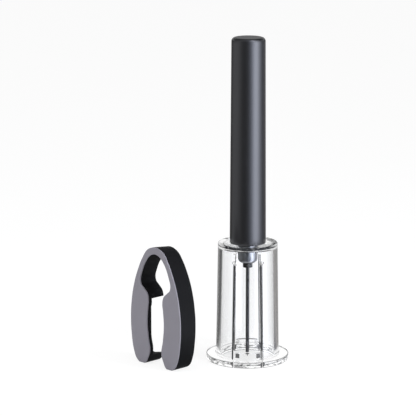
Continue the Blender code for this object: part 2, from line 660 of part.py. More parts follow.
def cutter_outline():
    """Points of the foil cutter's edge, once round, from the crown of the bow."""
    outer = [Vector((x * CUTTER_HALF_WIDTH, z * CUTTER_HEIGHT)) for x, z in OUTER_EDGE_SHARES]
    arm = [
        Vector((ARM_GAP / 2 + ARM_GAP_WAIST * waist, POCKET_TOP * up)) for waist, up in ARM_EDGE_SHARES
    ]
    bow = [outer[0] - Vector((0, BOW_THICKNESSES[0]))]
    for index, thickness in enumerate(BOW_THICKNESSES[1:], start=1):
        along = (outer[index + 1] - outer[index - 1]).normalized()
        bow.append(outer[index] + thickness * Vector((along.y, -along.x)))
    half = outer + arm + bow[:0:-1]
    mirrored = [Vector((-point.x, point.y)) for point in reversed(half[1:])]
    return half + [bow[0]] + mirrored


def pocket_outline():
    """Points of the bottle pocket, once round: a flat top, and a floor that falls outwards."""
    side = POCKET_WIDTH / 2 - POCKET_CORNER
    low = LEG_BELOW_POCKET - POCKET_FLOOR_FALL + POCKET_CORNER
    half = arc((side, POCKET_TOP - POCKET_CORNER), POCKET_CORNER, 90, 0)
    half += arc((side, low), POCKET_CORNER, 0, -90)
    half += [(ARM_GAP / 2, LEG_BELOW_POCKET)]
    mirrored = [(-x, z) for x, z in reversed(half)]
    return [Vector(point) for point in half + mirrored]


def fill_spline(curve, points, smooth):
    spline = curve.splines.new("BEZIER" if smooth else "POLY")
    places = spline.bezier_points if smooth else spline.points
    places.add(len(points) - 1)
    for place, point in zip(places, points):
        if smooth:
            place.co = (point.x, point.y, 0)
            place.handle_left_type = place.handle_right_type = "AUTO"
        else:
            place.co = (point.x, point.y, 0, 1)
    spline.use_cyclic_u = True


def plate(name, points, thickness, parent, middle, look=None, edge=0.0):
    """A plate of an outline, standing with its thickness along local Y. One with a bevelled
    edge is smooth through its points."""
    curve = bpy.data.curves.new(name + "_outline", "CURVE")
    curve.dimensions = "2D"
    curve.fill_mode = "BOTH"
    curve.resolution_u = CURVE_RESOLUTION
    curve.bevel_depth = edge
    curve.bevel_resolution = 0
    curve.offset = -edge
    curve.extrude = thickness / 2 - edge
    fill_spline(curve, points, edge > 0)
    flat = bpy.data.objects.new(name + "_outline", curve)
    PARTS.objects.link(flat)
    bpy.context.view_layer.update()
    evaluated = flat.evaluated_get(bpy.context.evaluated_depsgraph_get())
    mesh = bpy.data.meshes.new_from_object(evaluated)
    mesh.name = name
    shape = bmesh.new()
    shape.from_mesh(mesh)
    bmesh.ops.remove_doubles(shape, verts=shape.verts, dist=MERGE)
    bmesh.ops.recalc_face_normals(shape, faces=shape.faces)
    shape.to_mesh(mesh)
    shape.free()
    bpy.data.objects.remove(flat, do_unlink=True)
    return add_object(name, mesh, parent, (0, middle, 0), (math.radians(90), 0, 0), look)


def foil_cutter(frame):
    """Bow with two arms, the bottle pocket open at the back, and a grey face on the front."""
    face_middle = (CUTTER_FACE_THICKNESS - CUTTER_THICKNESS) / 2
    outline = cutter_outline()
    body = plate("cutter_body", outline, CUTTER_BODY_THICKNESS, frame, BODY_MIDDLE, BLACK_PLASTIC,
                 CUTTER_EDGE)
    face = plate("cutter_face", outline, CUTTER_FACE_THICKNESS, frame, face_middle, GREY_PLASTIC,
                 CUTTER_EDGE)
    lip_back = BODY_FRONT + LIP_THICKNESS
    pocket_back = CUTTER_THICKNESS / 2 + CUT_OVERRUN
    pocket_middle = (lip_back + pocket_back) / 2
    cut(body, plate("bottle_pocket", pocket_outline(), pocket_back - lip_back, frame, pocket_middle))
    reach = CUTTER_HALF_WIDTH + CUT_OVERRUN
    ground = box(
        "foot_flat", (-reach, -reach, -CUT_OVERRUN), (reach, reach, FOOT_FLAT_DEPTH), frame
    )
    cut(body, ground)
    raised = box(
        "face_foot_flat", (-reach, -reach, -CUT_OVERRUN),
        (reach, reach, FOOT_FLAT_DEPTH + FACE_FOOT_LIFT), frame,
    )
    cut(face, raised)
    x = POCKET_WIDTH / 2 - WHEEL_RADIUS - RUNNING_GAP
    z = POCKET_HEIGHT / 2 - WHEEL_RADIUS - WHEEL_END_MARGIN
    for name, side, level in (
        ("upper_left", -1, 1), ("lower_left", -1, -1), ("upper_right", 1, 1), ("lower_right", 1, -1),
    ):
        wheel_station(name, frame, body, lip_back, side * x, POCKET_CENTRE + level * z)


def wheel_station(name, frame, body, lip_back, x, z):
    """Boss on the back of the lip, and the wheel that a headed pin holds on it."""
    upright = (math.radians(-90), 0, 0)
    middle = lip_back + WHEEL_BEHIND_LIP
    half_hub = WHEEL_HUB_THICKNESS / 2
    boss_top = middle - half_hub - FIT_GAP
    boss_root = lip_back - LIP_THICKNESS / 2
    cut(body, rod(name + "_boss", WHEEL_HUB_RADIUS, boss_top - boss_root, frame,
                  (x, boss_root, z), upright), "UNION")
    pin_front = BODY_FRONT + PIN_FRONT_COVER
    cut(body, rod(name + "_pin_hole", PIN_RADIUS + FIT_GAP, boss_top - pin_front + CUT_OVERRUN,
                  frame, (x, pin_front, z), upright))
    cutting_wheel(name + "_wheel", frame, (x, middle, z), upright)
    shank = middle + half_hub - pin_front
    profile = [
        (0, shank + PIN_HEAD_THICKNESS),
        (PIN_HEAD_RADIUS, shank + PIN_HEAD_THICKNESS),
        (PIN_HEAD_RADIUS, shank),
        (PIN_RADIUS, shank),
        (PIN_RADIUS, 0),
        (0, 0),
    ]
    turned(name + "_pin", profile, frame, look=STEEL, steps=STEPS_SMALL, closed=False,
           rotation=upright, location=(x, pin_front + FIT_GAP, z))


def cutting_wheel(name, frame, place, upright):
    """A free-running wheel with a hub and a sharp rim."""
    hub, disc, edge = WHEEL_HUB_THICKNESS / 2, WHEEL_DISC_THICKNESS / 2, WHEEL_EDGE_THICKNESS / 2
    bore = PIN_RADIUS + FIT_GAP
    profile = [
        (bore, hub),
        (WHEEL_HUB_RADIUS, hub),
        (WHEEL_HUB_RADIUS, disc),
        (WHEEL_RADIUS - WHEEL_EDGE_BEVEL, disc),
        (WHEEL_RADIUS, edge),
        (WHEEL_RADIUS, -edge),
        (WHEEL_RADIUS - WHEEL_EDGE_BEVEL, -disc),
        (WHEEL_HUB_RADIUS, -disc),
        (WHEEL_HUB_RADIUS, -hub),
        (bore, -hub),
    ]
    turned(name, profile, frame, look=STEEL, steps=STEPS_SMALL, rotation=upright, location=place)


def main():
    opener_place, cutter_place = standing_places()
    axis = make_empty("opener_axis", opener_place)
    handle = make_empty("handle_slide", opener_place + Vector((0, 0, HANDLE_BASE)))
    frame = make_empty("cutter_frame", cutter_place - Vector((0, 0, FOOT_FLAT_DEPTH)), CUTTER_TURN)
    clear_housing(axis)
    needle_group(axis)
    pump_barrel(axis)
    barrel_cap(axis)
    check_valve(axis)
    handle_group(handle)
    piston_group(handle)
    foil_cutter(frame)


main()
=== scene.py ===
"""Looks of the air pump wine opener and its foil cutter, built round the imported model.

Each sub-assembly is a class with its sizes in millimetres. The opener's pieces stand on its
axis and the foil cutter's in a frame of its own, and each one stands for the CAD node it covers.
"""

from __future__ import annotations

import logging
import math
from dataclasses import dataclass, field
from enum import Enum
from typing import Any, Sequence, Union

import bmesh
import bpy
from mathutils import Matrix, Vector


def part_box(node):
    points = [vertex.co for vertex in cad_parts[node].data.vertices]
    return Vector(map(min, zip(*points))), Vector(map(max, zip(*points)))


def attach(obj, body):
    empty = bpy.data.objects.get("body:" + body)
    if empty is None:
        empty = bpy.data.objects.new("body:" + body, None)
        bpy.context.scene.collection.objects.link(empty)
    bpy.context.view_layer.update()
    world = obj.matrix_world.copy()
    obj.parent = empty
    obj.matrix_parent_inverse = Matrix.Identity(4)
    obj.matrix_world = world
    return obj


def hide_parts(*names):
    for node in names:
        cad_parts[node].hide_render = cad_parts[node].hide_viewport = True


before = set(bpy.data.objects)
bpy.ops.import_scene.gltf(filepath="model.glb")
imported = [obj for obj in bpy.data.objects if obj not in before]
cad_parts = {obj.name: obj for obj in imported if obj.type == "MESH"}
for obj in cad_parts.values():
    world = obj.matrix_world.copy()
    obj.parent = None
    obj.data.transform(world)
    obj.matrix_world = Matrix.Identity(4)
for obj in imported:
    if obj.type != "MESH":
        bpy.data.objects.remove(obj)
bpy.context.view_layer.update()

LOG = logging.getLogger("wine_opener")
MM = 0.001
FULL_TURN = math.tau
QUARTER_TURN = math.pi / 2
SHARP_ANGLE = math.radians(35)
MERGE = 0.002
OVERRUN = 2.0
FIT_GAP = 0.3

# Steps of a full turn, and segments of a rounding or of a stretch of an outline.
FINE_STEPS = 192
ROUND_STEPS = 96
SMALL_STEPS = 48
DRILL_STEPS = 24
HEX_SIDES = 6
FEW_SEGMENTS = 2
PLATE_SEGMENTS = 3
ROUND_SEGMENTS = 4
RIM_SEGMENTS = 5
MANY_SEGMENTS = 8
OUTLINE_SEGMENTS = 10

# Roundings of edges in millimetres, from the sharpest to the softest.
EDGE_HAIR = 0.1
EDGE_CRISP = 0.15
EDGE_FINE = 0.2
EDGE_NEAT = 0.25
EDGE_EASED = 0.3
EDGE_SOFT = 0.4
EDGE_ROUND = 0.5

Colour = tuple[float, float, float]
Corner = tuple[float, float, float]
Number = Union["Value", float]

WHITE: Colour = (1.0, 1.0, 1.0)
NOISE_MEAN = 0.5
# Finer layers of a noise pattern.
PLAIN_DETAIL = 1.0
FINE_DETAIL = 2.0
CLOUD_DETAIL = 3.0
BLOOM_DETAIL = 4.0


class Body(Enum):
    """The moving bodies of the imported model."""

    OPENER = "opener"
    HANDLE = "handle"
    CHECK_BALL = "check_ball"
    FOIL_CUTTER = "foil_cutter"
    UPPER_LEFT_WHEEL = "wheel_upper_left"
    LOWER_LEFT_WHEEL = "wheel_lower_left"
    UPPER_RIGHT_WHEEL = "wheel_upper_right"
    LOWER_RIGHT_WHEEL = "wheel_lower_right"


class Operation(Enum):
    """How a tool shape is combined with a shape."""

    CUT = "DIFFERENCE"
    JOIN = "UNION"
    KEEP = "INTERSECT"


class Value:
    """A socket of a node graph that takes part in Python expressions."""

    def __init__(self, graph: Graph, socket: bpy.types.NodeSocket | None) -> None:
        """Wraps a socket.

        Args:
            graph: The graph that the socket belongs to.
            socket: An output socket, or None for a node without outputs.
        """
        self.graph = graph
        self.socket = socket

    def __add__(self, other: Number) -> Value:
        """Sum."""
        return self.graph.maths("ADD", self, other)

    __radd__ = __add__

    def __sub__(self, other: Number) -> Value:
        """Difference."""
        return self.graph.maths("SUBTRACT", self, other)

    def __rsub__(self, other: Number) -> Value:
        """Difference from a number."""
        return self.graph.maths("SUBTRACT", other, self)

    def __neg__(self) -> Value:
        """Opposite value."""
        return self.graph.maths("SUBTRACT", 0.0, self)

    def __mul__(self, other: Number) -> Value:
        """Product."""
        return self.graph.maths("MULTIPLY", self, other)

    __rmul__ = __mul__

    def __abs__(self) -> Value:
        """Value without its sign."""
        return self.graph.maths("ABSOLUTE", self)

    def __gt__(self, other: Number) -> Value:
        """One where this is the greater, and zero elsewhere."""
        return self.graph.maths("GREATER_THAN", self, other)

    def __lt__(self, other: Number) -> Value:
        """One where this is the lesser, and zero elsewhere."""
        return self.graph.maths("LESS_THAN", self, other)

    def swing(self, width: float) -> Value:
        """A noise pattern made to swing about zero."""
        return width * (self - NOISE_MEAN)


class Graph:
    """A shader node tree that is filled by expressions."""

    def __init__(self, tree: bpy.types.NodeTree) -> None:
        """Empties a node tree.

        Args:
            tree: The tree of a material or a world.
        """
        self.tree = tree
        tree.nodes.clear()

    def node(self, kind: str, settings: dict[str, Any] | None = None,
             inputs: dict[Any, Any] | None = None, output: int | str = 0) -> Value:
        """Adds one node.

        Args:
            kind: The node's type.
            settings: Its properties, set before its sockets. "stops" are a ramp's.
            inputs: Values or links by socket name or number.
            output: Which output to return.

        Returns:
            The output as a value for further expressions.
        """
        made = self.tree.nodes.new(kind)
        for name, setting in (settings or {}).items():
            if name == "stops":
                ramp = made.color_ramp.elements
                while len(ramp) < len(setting):
                    ramp.new(1.0)
                for stop, (place, colour) in zip(ramp, setting):
                    stop.position, stop.color = place, (*colour, 1.0)
            else:
                setattr(made, name, setting)
        for name, value in (inputs or {}).items():
            if isinstance(value, Value):
                self.tree.links.new(value.socket, made.inputs[name])
            else:
                made.inputs[name].default_value = value
        return Value(self, made.outputs[output] if made.outputs else None)

    def maths(self, operation: str, *values: Number) -> Value:
        """A Math node."""
        return self.node("ShaderNodeMath", {"operation": operation}, dict(enumerate(values)))

    def place(self) -> Value:
        """Object coordinates, in metres."""
        return self.node("ShaderNodeTexCoord", output="Object")

    def mapped(self, **inputs: Any) -> Value:
        """Object coordinates with a Location or a Scale."""
        return self.node("ShaderNodeMapping", {}, {"Vector": self.place(), **inputs})

    def noise(self, grain: float, detail: float = FINE_DETAIL, place: Value | None = None) -> Value:
        """A noise pattern.

        Args:
            grain: The size of its spots in millimetres.
            detail: How many finer layers it has.
            place: Coordinates in metres, or the object's own.

        Returns:
            The pattern's strength.
        """
        inputs = {"Vector": place or self.place(), "Scale": 1 / (grain * MM), "Detail": detail}
        return self.node("ShaderNodeTexNoise", {}, inputs)

    def part(self, vector: Value, axis: str) -> Value:
        """One coordinate of a vector."""
        return self.node("ShaderNodeSeparateXYZ", {}, {0: vector}, output=axis)

    def length(self, vector: Value) -> Value:
        """A vector's length."""
        return self.node("ShaderNodeVectorMath", {"operation": "LENGTH"}, {0: vector}, output="Value")

    def ranged(self, value: Value, low: float, high: float, at_low: float = 0.0,
               at_high: float = 1.0) -> Value:
        """A value brought from one range into another, and held at its ends.

        Args:
            value: What to bring over.
            low: Where the first range starts.
            high: Where it ends.
            at_low: The result at its start and before it.
            at_high: The result at its end and past it.

        Returns:
            The value in the second range.
        """
        return self.node("ShaderNodeMapRange", {}, {
            "Value": value, "From Min": low, "From Max": high, "To Min": at_low, "To Max": at_high,
        })

    def mixed(self, share: Number, first: Any, second: Any) -> Value:
        """A colour between two colours."""
        inputs = {0: share, 6: first, 7: second}
        return self.node("ShaderNodeMix", {"data_type": "RGBA"}, inputs, output=2)

    def shaded(self, pattern: Value, colour: Colour, darkest: float, lightest: float) -> Value:
        """A colour that a pattern takes from one level to another."""
        return self.mixed(pattern, rgba(colour, darkest), rgba(colour, lightest))

    def relief(self, height: Value, depth: float) -> Value:
        """A normal from a height pattern, with its depth in millimetres."""
        return self.node("ShaderNodeBump", {}, {"Height": height, "Distance": depth * MM})

    def glow(self, colour: Any, strength: Number) -> Value:
        """A shader that gives light."""
        return self.node("ShaderNodeEmission", {}, {"Color": colour, "Strength": strength})

    def blend(self, share: Value, first: Value, second: Value) -> Value:
        """A shader between two shaders."""
        return self.node("ShaderNodeMixShader", {}, {0: share, 1: first, 2: second})

    def light_path(self, kind: str) -> Value:
        """What is known of the ray that looks."""
        return self.node("ShaderNodeLightPath", output=kind)


def opener_axis() -> Vector:
    """The foot of the opener's axis, in metres."""
    low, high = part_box("handle_shell")
    return Vector(((low.x + high.x) / 2, (low.y + high.y) / 2, 0))


def rgba(colour: Sequence[float], level: float = 1.0) -> tuple[float, float, float, float]:
    """A colour at a level, with an alpha of one."""
    return (colour[0] * level, colour[1] * level, colour[2] * level, 1.0)


def grey(level: float) -> Colour:
    """A neutral colour."""
    return (level, level, level)


@dataclass(frozen=True)
class Slits:
    """The four slits that leave the housing's tongues, in millimetres."""

    at_foot: float = 8.82
    taper: float = math.radians(0.8)
    width: float = 0.4
    end_radius: float = 1.2
    top: float = 63.55

    @property
    def at_top(self) -> float:
        """Their distance from the axis at their upper ends."""
        return self.at_foot - self.top * math.tan(self.taper)


SLITS = Slits()


@dataclass(frozen=True)
class Finish:
    """What every finish has: a colour and a roughness."""

    name: str
    colour: Colour
    roughness: float = 0.35

    def surface(self, graph: Graph) -> dict[str, Any]:
        """Inputs of the Principled shader.

        Args:
            graph: The material's graph.

        Returns:
            Values or links by socket name.
        """
        return {"Base Color": rgba(self.colour), "Roughness": self.roughness}

    def shader(self, graph: Graph) -> Value:
        """The shader that the surface feeds."""
        return graph.node("ShaderNodeBsdfPrincipled", {}, self.surface(graph))

    def material(self) -> bpy.types.Material:
        """Builds the material.

        Returns:
            A new material with its nodes linked.
        """
        made = bpy.data.materials.new(self.name)
        made.use_nodes = True
        graph = Graph(made.node_tree)
        graph.node("ShaderNodeOutputMaterial", {}, {"Surface": self.shader(graph)})
        made.diffuse_color = rgba(self.colour)
        made.cycles.emission_sampling = "NONE"
        return made


@dataclass(frozen=True)
class MouldedPlastic(Finish):
    """Moulded plastic with a fine spark-eroded texture."""

    grain: float = 0.35
    texture_depth: float = 0.012
    mottle: float = 0.12
    shine: float = 0.5
    flow_grain: float = 9.0
    flow_gloss: float = 0.1
    fine_gloss: float = 0.12

    def surface(self, graph: Graph) -> dict[str, Any]:
        """Faint mottling of the colour, uneven gloss and the mould's texture.

        Args:
            graph: The material's graph.

        Returns:
            Values or links by socket name.
        """
        flow = graph.noise(self.flow_grain, detail=CLOUD_DETAIL)
        fine = graph.noise(self.grain)
        return {
            "Base Color": graph.shaded(flow, self.colour, 1 - self.mottle, 1 + self.mottle),
            "Roughness": self.roughness + fine.swing(self.fine_gloss) + flow.swing(self.flow_gloss),
            "Normal": graph.relief(fine, self.texture_depth),
            "Specular IOR Level": self.shine,
        }


@dataclass(frozen=True)
class SatinAnodised(Finish):
    """Black satin coat on a drawn aluminium tube."""

    metallic: float = 0.85
    shine: float = 0.7
    mark_grain: float = 0.5
    mark_stretch: float = 0.012
    mark_share: float = 0.6
    mark_gloss: float = 0.03
    mark_relief: float = 0.5
    blast_grain: float = 0.16
    cloud_grain: float = 22.0
    cloud_gloss: float = 0.04
    mottle: float = 0.07
    relief_depth: float = 0.0006

    def surface(self, graph: Graph) -> dict[str, Any]:
        """Long drawing marks up the tube under a finely blasted coat.

        Args:
            graph: The material's graph.

        Returns:
            Values or links by socket name.
        """
        along = graph.mapped(Scale=(1.0, 1.0, self.mark_stretch))
        marks = graph.noise(self.mark_grain, CLOUD_DETAIL, along)
        blasted = graph.noise(self.blast_grain)
        cloud = graph.noise(self.cloud_grain)
        tone = marks * self.mark_share + cloud * (1 - self.mark_share)
        relief = marks * self.mark_relief + blasted * (1 - self.mark_relief)
        return {
            "Base Color": graph.shaded(tone, self.colour, 1 - self.mottle, 1 + self.mottle),
            "Metallic": self.metallic,
            "Roughness": self.roughness + marks.swing(self.mark_gloss) + cloud.swing(self.cloud_gloss),
            "Specular IOR Level": self.shine,
            "Normal": graph.relief(relief, self.relief_depth),
        }


@dataclass(frozen=True)
class TurnedMetal(Finish):
    """Metal with the fine rings that turning leaves."""

    ring_pitch: float = 0.22
    ring_depth: float = 0.002
    ring_wobble: float = 1.5
    ring_gloss: float = 0.04
    cloud_grain: float = 3.0
    cloud_gloss: float = 0.12
    darkest: float = 0.88
    lightest: float = 1.1

    def surface(self, graph: Graph) -> dict[str, Any]:
        """Rings round the upright axis and uneven brightness.

        Args:
            graph: The material's graph.

        Returns:
            Values or links by socket name.
        """
        rings = graph.node(
            "ShaderNodeTexWave", {"wave_type": "BANDS", "bands_direction": "Z"},
            {"Vector": graph.place(), "Scale": 1 / (self.ring_pitch * MM * FULL_TURN),
             "Distortion": self.ring_wobble, "Detail": FINE_DETAIL}, output=1,
        )
        cloud = graph.noise(self.cloud_grain, detail=CLOUD_DETAIL)
        return {
            "Base Color": graph.shaded(cloud, self.colour, self.darkest, self.lightest),
            "Metallic": 1.0,
            "Roughness": self.roughness + cloud.swing(self.cloud_gloss) + self.ring_gloss * rings,
            "Normal": graph.relief(rings, self.ring_depth),
        }


@dataclass(frozen=True)
class CoatedSteel(Finish):
    """Steel tube with a dark low-friction coat."""

    metallic: float = 0.7
    cloud_grain: float = 4.0
    cloud_gloss: float = 0.15
    mottle: float = 0.2
    speck_grain: float = 0.2
    speck_depth: float = 0.003

    def surface(self, graph: Graph) -> dict[str, Any]:
        """A slightly cloudy coat with fine specks.

        Args:
            graph: The material's graph.

        Returns:
            Values or links by socket name.
        """
        cloud = graph.noise(self.cloud_grain, detail=CLOUD_DETAIL)
        return {
            "Base Color": graph.shaded(cloud, self.colour, 1 - self.mottle, 1 + self.mottle),
            "Metallic": self.metallic,
            "Roughness": self.roughness + cloud.swing(self.cloud_gloss),
            "Normal": graph.relief(graph.noise(self.speck_grain), self.speck_depth),
        }


@dataclass(frozen=True)
class SealRubber(Finish):
    """Dull seal rubber with a bloom."""

    bloom_grain: float = 2.5
    darkest: float = 0.75
    lightest: float = 1.5
    pore_grain: float = 0.15
    pore_gloss: float = 0.15
    pore_depth: float = 0.01

    def surface(self, graph: Graph) -> dict[str, Any]:
        """A pale bloom in patches over fine pores.

        Args:
            graph: The material's graph.

        Returns:
            Values or links by socket name.
        """
        bloom = graph.noise(self.bloom_grain, detail=BLOOM_DETAIL)
        pores = graph.noise(self.pore_grain)
        return {
            "Base Color": graph.shaded(bloom, self.colour, self.darkest, self.lightest),
            "Roughness": self.roughness + pores.swing(self.pore_gloss),
            "Normal": graph.relief(pores, self.pore_depth),
        }


@dataclass(frozen=True)
class HousingPlace:
    """Where a point lies on the neck housing, in millimetres from the foot of its axis."""

    across: Value
    behind: Value
    height: Value
    radius: Value

    @classmethod
    def found(cls, graph: Graph) -> HousingPlace:
        """Works the place out from Object coordinates.

        Args:
            graph: The material's graph.

        Returns:
            The place. Its behind is one past the axis and zero before it.
        """
        centred = graph.mapped(Location=-opener_axis() / MM, Scale=(1 / MM,) * 3)
        flat = graph.node("ShaderNodeVectorMath", {"operation": "MULTIPLY"}, {0: centred, 1: (1, 1, 0)})
        return cls(graph.part(centred, "X"), graph.part(centred, "Y") > 0.0,
                   graph.part(centred, "Z"), graph.length(flat))


@dataclass(frozen=True)
class PaintedRefractionShade:
    """Painted shade on the clear housing: dark marks in place of the dark that light bent at a moulding's
    edges gives.

    Heights and radii are the housing's, in millimetres. Shares say how dark a painted mark is.
    """

    line_half: float = 0.12
    line_fade: float = 0.2
    line_share: float = 0.92
    line_shift: float = -0.35
    right_extra: float = 0.42
    rear_shift: float = 0.5
    tooth_share: float = 0.85
    tooth_radius: float = 16.2
    tooth_top: float = 7.0
    rear_tooth: float = 0.35
    ledge_half: float = 0.5
    ledge_radius: float = 16.55
    ledge_share: float = 0.65
    rim_low: float = 72.0
    rim_inner: float = 16.7
    rim_ends: tuple[float, float] = (13.5, 16.0)
    rim_share: float = 2.3
    rim_least: float = 0.15
    speck_grain: float = 1.1
    flange_inner: float = 24.95
    outline: float = 0.4
    outline_share: float = 0.55
    streak_grain: float = 3.0
    streak_flat: float = 3.0
    streak_span: tuple[float, float] = (0.47, 0.6)
    streak_share: float = 0.7

    def share(self, graph: Graph) -> Value:
        """The share of painted shade at a place.

        Args:
            graph: The material's graph.

        Returns:
            The darkest of all the painted marks there.
        """
        place = HousingPlace.found(graph)
        dark = self.beside_slits(graph, place)
        for mark in (self.teeth, self.ledge, self.rim, self.flange_edge):
            dark = graph.maths("MAXIMUM", dark, mark(graph, place))
        return dark

    def beside_slits(self, graph: Graph, place: HousingPlace) -> Value:
        """A painted dark line along each slit, in place of refraction shade, on upright faces only and
        wider on the right.

        Args:
            graph: The material's graph.
            place: Where the point lies on the housing.

        Returns:
            The painted line's share of dark.
        """
        slit = SLITS.at_foot - place.height * math.tan(SLITS.taper)
        sideways = abs(place.across - self.line_shift - place.behind * self.rear_shift)
        beside = abs(sideways - slit) - (place.across > 0.0) * self.right_extra
        line = graph.ranged(beside, self.line_half, self.line_half + self.line_fade, self.line_share, 0.0)
        below = place.height < SLITS.top - SLITS.end_radius
        rise = graph.part(graph.node("ShaderNodeTexCoord", output="Normal"), "Z")
        return line * below * (1 - abs(rise))

    def teeth(self, graph: Graph, place: HousingPlace) -> Value:
        """Painted shade on the teeth, which stand further in than the wall, fainter behind."""
        inside = (place.radius < self.tooth_radius) * (place.height < self.tooth_top)
        return inside * self.tooth_share * (1 - place.behind * (1 - self.rear_tooth))

    def ledge(self, graph: Graph, place: HousingPlace) -> Value:
        """Painted shade along the crest of the rear tongue's ledge."""
        level = abs(place.height - NeckHousing.ledge_height) < self.ledge_half
        return level * place.behind * self.ledge_share * (place.radius < self.ledge_radius)

    def rim(self, graph: Graph, place: HousingPlace) -> Value:
        """Painted dark specks along the rim, fading towards its sides and faint behind.

        Args:
            graph: The material's graph.
            place: Where the point lies on the housing.

        Returns:
            The specks' share of dark.
        """
        on_rim = (place.height > self.rim_low) * (place.radius > self.rim_inner)
        pattern = graph.noise(self.speck_grain, detail=PLAIN_DETAIL)
        specks = graph.maths("MINIMUM", pattern * self.rim_share, 1.0)
        fading = graph.ranged(abs(place.across), *self.rim_ends, 1.0, self.rim_least)
        return on_rim * specks * fading * (1 - place.behind * (1 - self.rim_least))

    def flange_edge(self, graph: Graph, place: HousingPlace) -> Value:
        """A painted dark outline along both corners of the flange, and painted dark streaks between them.

        Args:
            graph: The material's graph.
            place: Where the point lies on the housing.

        Returns:
            The greater of the two shares of dark.
        """
        half = NeckHousing.flange_thickness / 2
        corner = abs(place.height - half) > half - self.outline
        flat = graph.mapped(Scale=(1.0, 1.0, self.streak_flat))
        pattern = graph.noise(self.streak_grain, PLAIN_DETAIL, flat)
        streak = graph.ranged(pattern, *self.streak_span, 0.0, self.streak_share)
        edge = graph.maths("MAXIMUM", corner * self.outline_share, streak)
        return edge * (place.radius > self.flange_inner)


@dataclass(frozen=True)
class ClearPlastic(Finish):
    """Clear polished plastic with painted dark shade along its edges, and a painted white glow in place of
    the light its walls pipe up from the floor.
    """

    refraction: float = 1.47
    polish_grain: float = 3.0
    polish_spread: float = 0.01
    ripple_grain: float = 7.0
    ripple_depth: float = 0.002
    # Strength of a painted white glow that rays of many bounces see, in place of light piped up the walls.
    painted_glow: float = 0.95
    most_bounces: float = 3.5
    # Colour of the painted shade that the dark marks mix into the clear body.
    edge: Colour = (0.03, 0.031, 0.034)
    painted_shade_roughness: float = 0.5
    painted_shade_shine: float = 0.05
    # Painted shade: dark marks in object space in place of refraction at the housing's edges.
    marks: PaintedRefractionShade = PaintedRefractionShade()

    def surface(self, graph: Graph) -> dict[str, Any]:
        """Clear body, faint flow ripples and slightly uneven polish.

        Args:
            graph: The material's graph.

        Returns:
            Values or links by socket name.
        """
        ripples = graph.noise(self.ripple_grain, detail=PLAIN_DETAIL)
        return {
            "Base Color": rgba(self.colour),
            "Roughness": self.roughness + self.polish_spread * graph.noise(self.polish_grain),
            "IOR": self.refraction,
            "Transmission Weight": 1.0,
            "Normal": graph.relief(ripples, self.ripple_depth),
        }

    def shader(self, graph: Graph) -> Value:
        """The clear body with its painted dark shade, and a painted white glow for rays of many bounces.

        Args:
            graph: The material's graph.

        Returns:
            The shader.
        """
        # A dark shader for the painted shade.
        dark = graph.node("ShaderNodeBsdfPrincipled", {}, {
            "Base Color": rgba(self.edge), "Roughness": self.painted_shade_roughness,
            "Specular IOR Level": self.painted_shade_shine,
        })
        body = graph.blend(self.marks.share(graph), super().shader(graph), dark)
        # Rays of many bounces see a painted white glow instead of the plastic.
        lost = graph.light_path("Glossy Depth") > self.most_bounces
        return graph.blend(lost, body, graph.glow(rgba(WHITE), self.painted_glow))


class Slot(Enum):
    """The record's material slots, each with its finish."""

    CLEAR_PLASTIC = ClearPlastic("clear_polished_plastic", (0.99, 0.993, 0.996), 0.0)
    BRIGHT_METAL = TurnedMetal("bright_plated_metal", (0.35, 0.362, 0.39), 0.3)
    DARK_PLASTIC = MouldedPlastic("plain_black_plastic", (0.03, 0.03, 0.032), 0.4, grain=0.25)
    NEEDLE_DARK = CoatedSteel("dark_coated_steel", (0.1, 0.1, 0.105), 0.3)
    RUBBER = SealRubber("seal_rubber", (0.04, 0.04, 0.04), 0.7)
    PUMP_WHITE = MouldedPlastic("off_white_plastic", (0.8, 0.8, 0.78), 0.42, mottle=0.03)
    STEEL = TurnedMetal("turned_steel", (0.55, 0.55, 0.57), 0.25)
    HANDLE_BLACK = SatinAnodised("black_satin_aluminium", (0.08, 0.081, 0.087), 0.33)
    CUTTER_BLACK = MouldedPlastic("black_satin_plastic", (0.009, 0.009, 0.01), 0.45, shine=0.05)
    CUTTER_GREY = MouldedPlastic("grey_satin_plastic", (0.27, 0.26, 0.3), 0.5, mottle=0.05)

    @property
    def slot_name(self) -> str:
        """The slot's name in the record."""
        return self.name.lower()


MATERIALS: dict[Slot, bpy.types.Material] = {}


def finish_of(slot: Slot) -> bpy.types.Material:
    """The one material of a slot, built when it is first asked for.

    Args:
        slot: The record's slot.

    Returns:
        Its material.
    """
    if slot not in MATERIALS:
        MATERIALS[slot] = slot.value.material()
    return MATERIALS[slot]


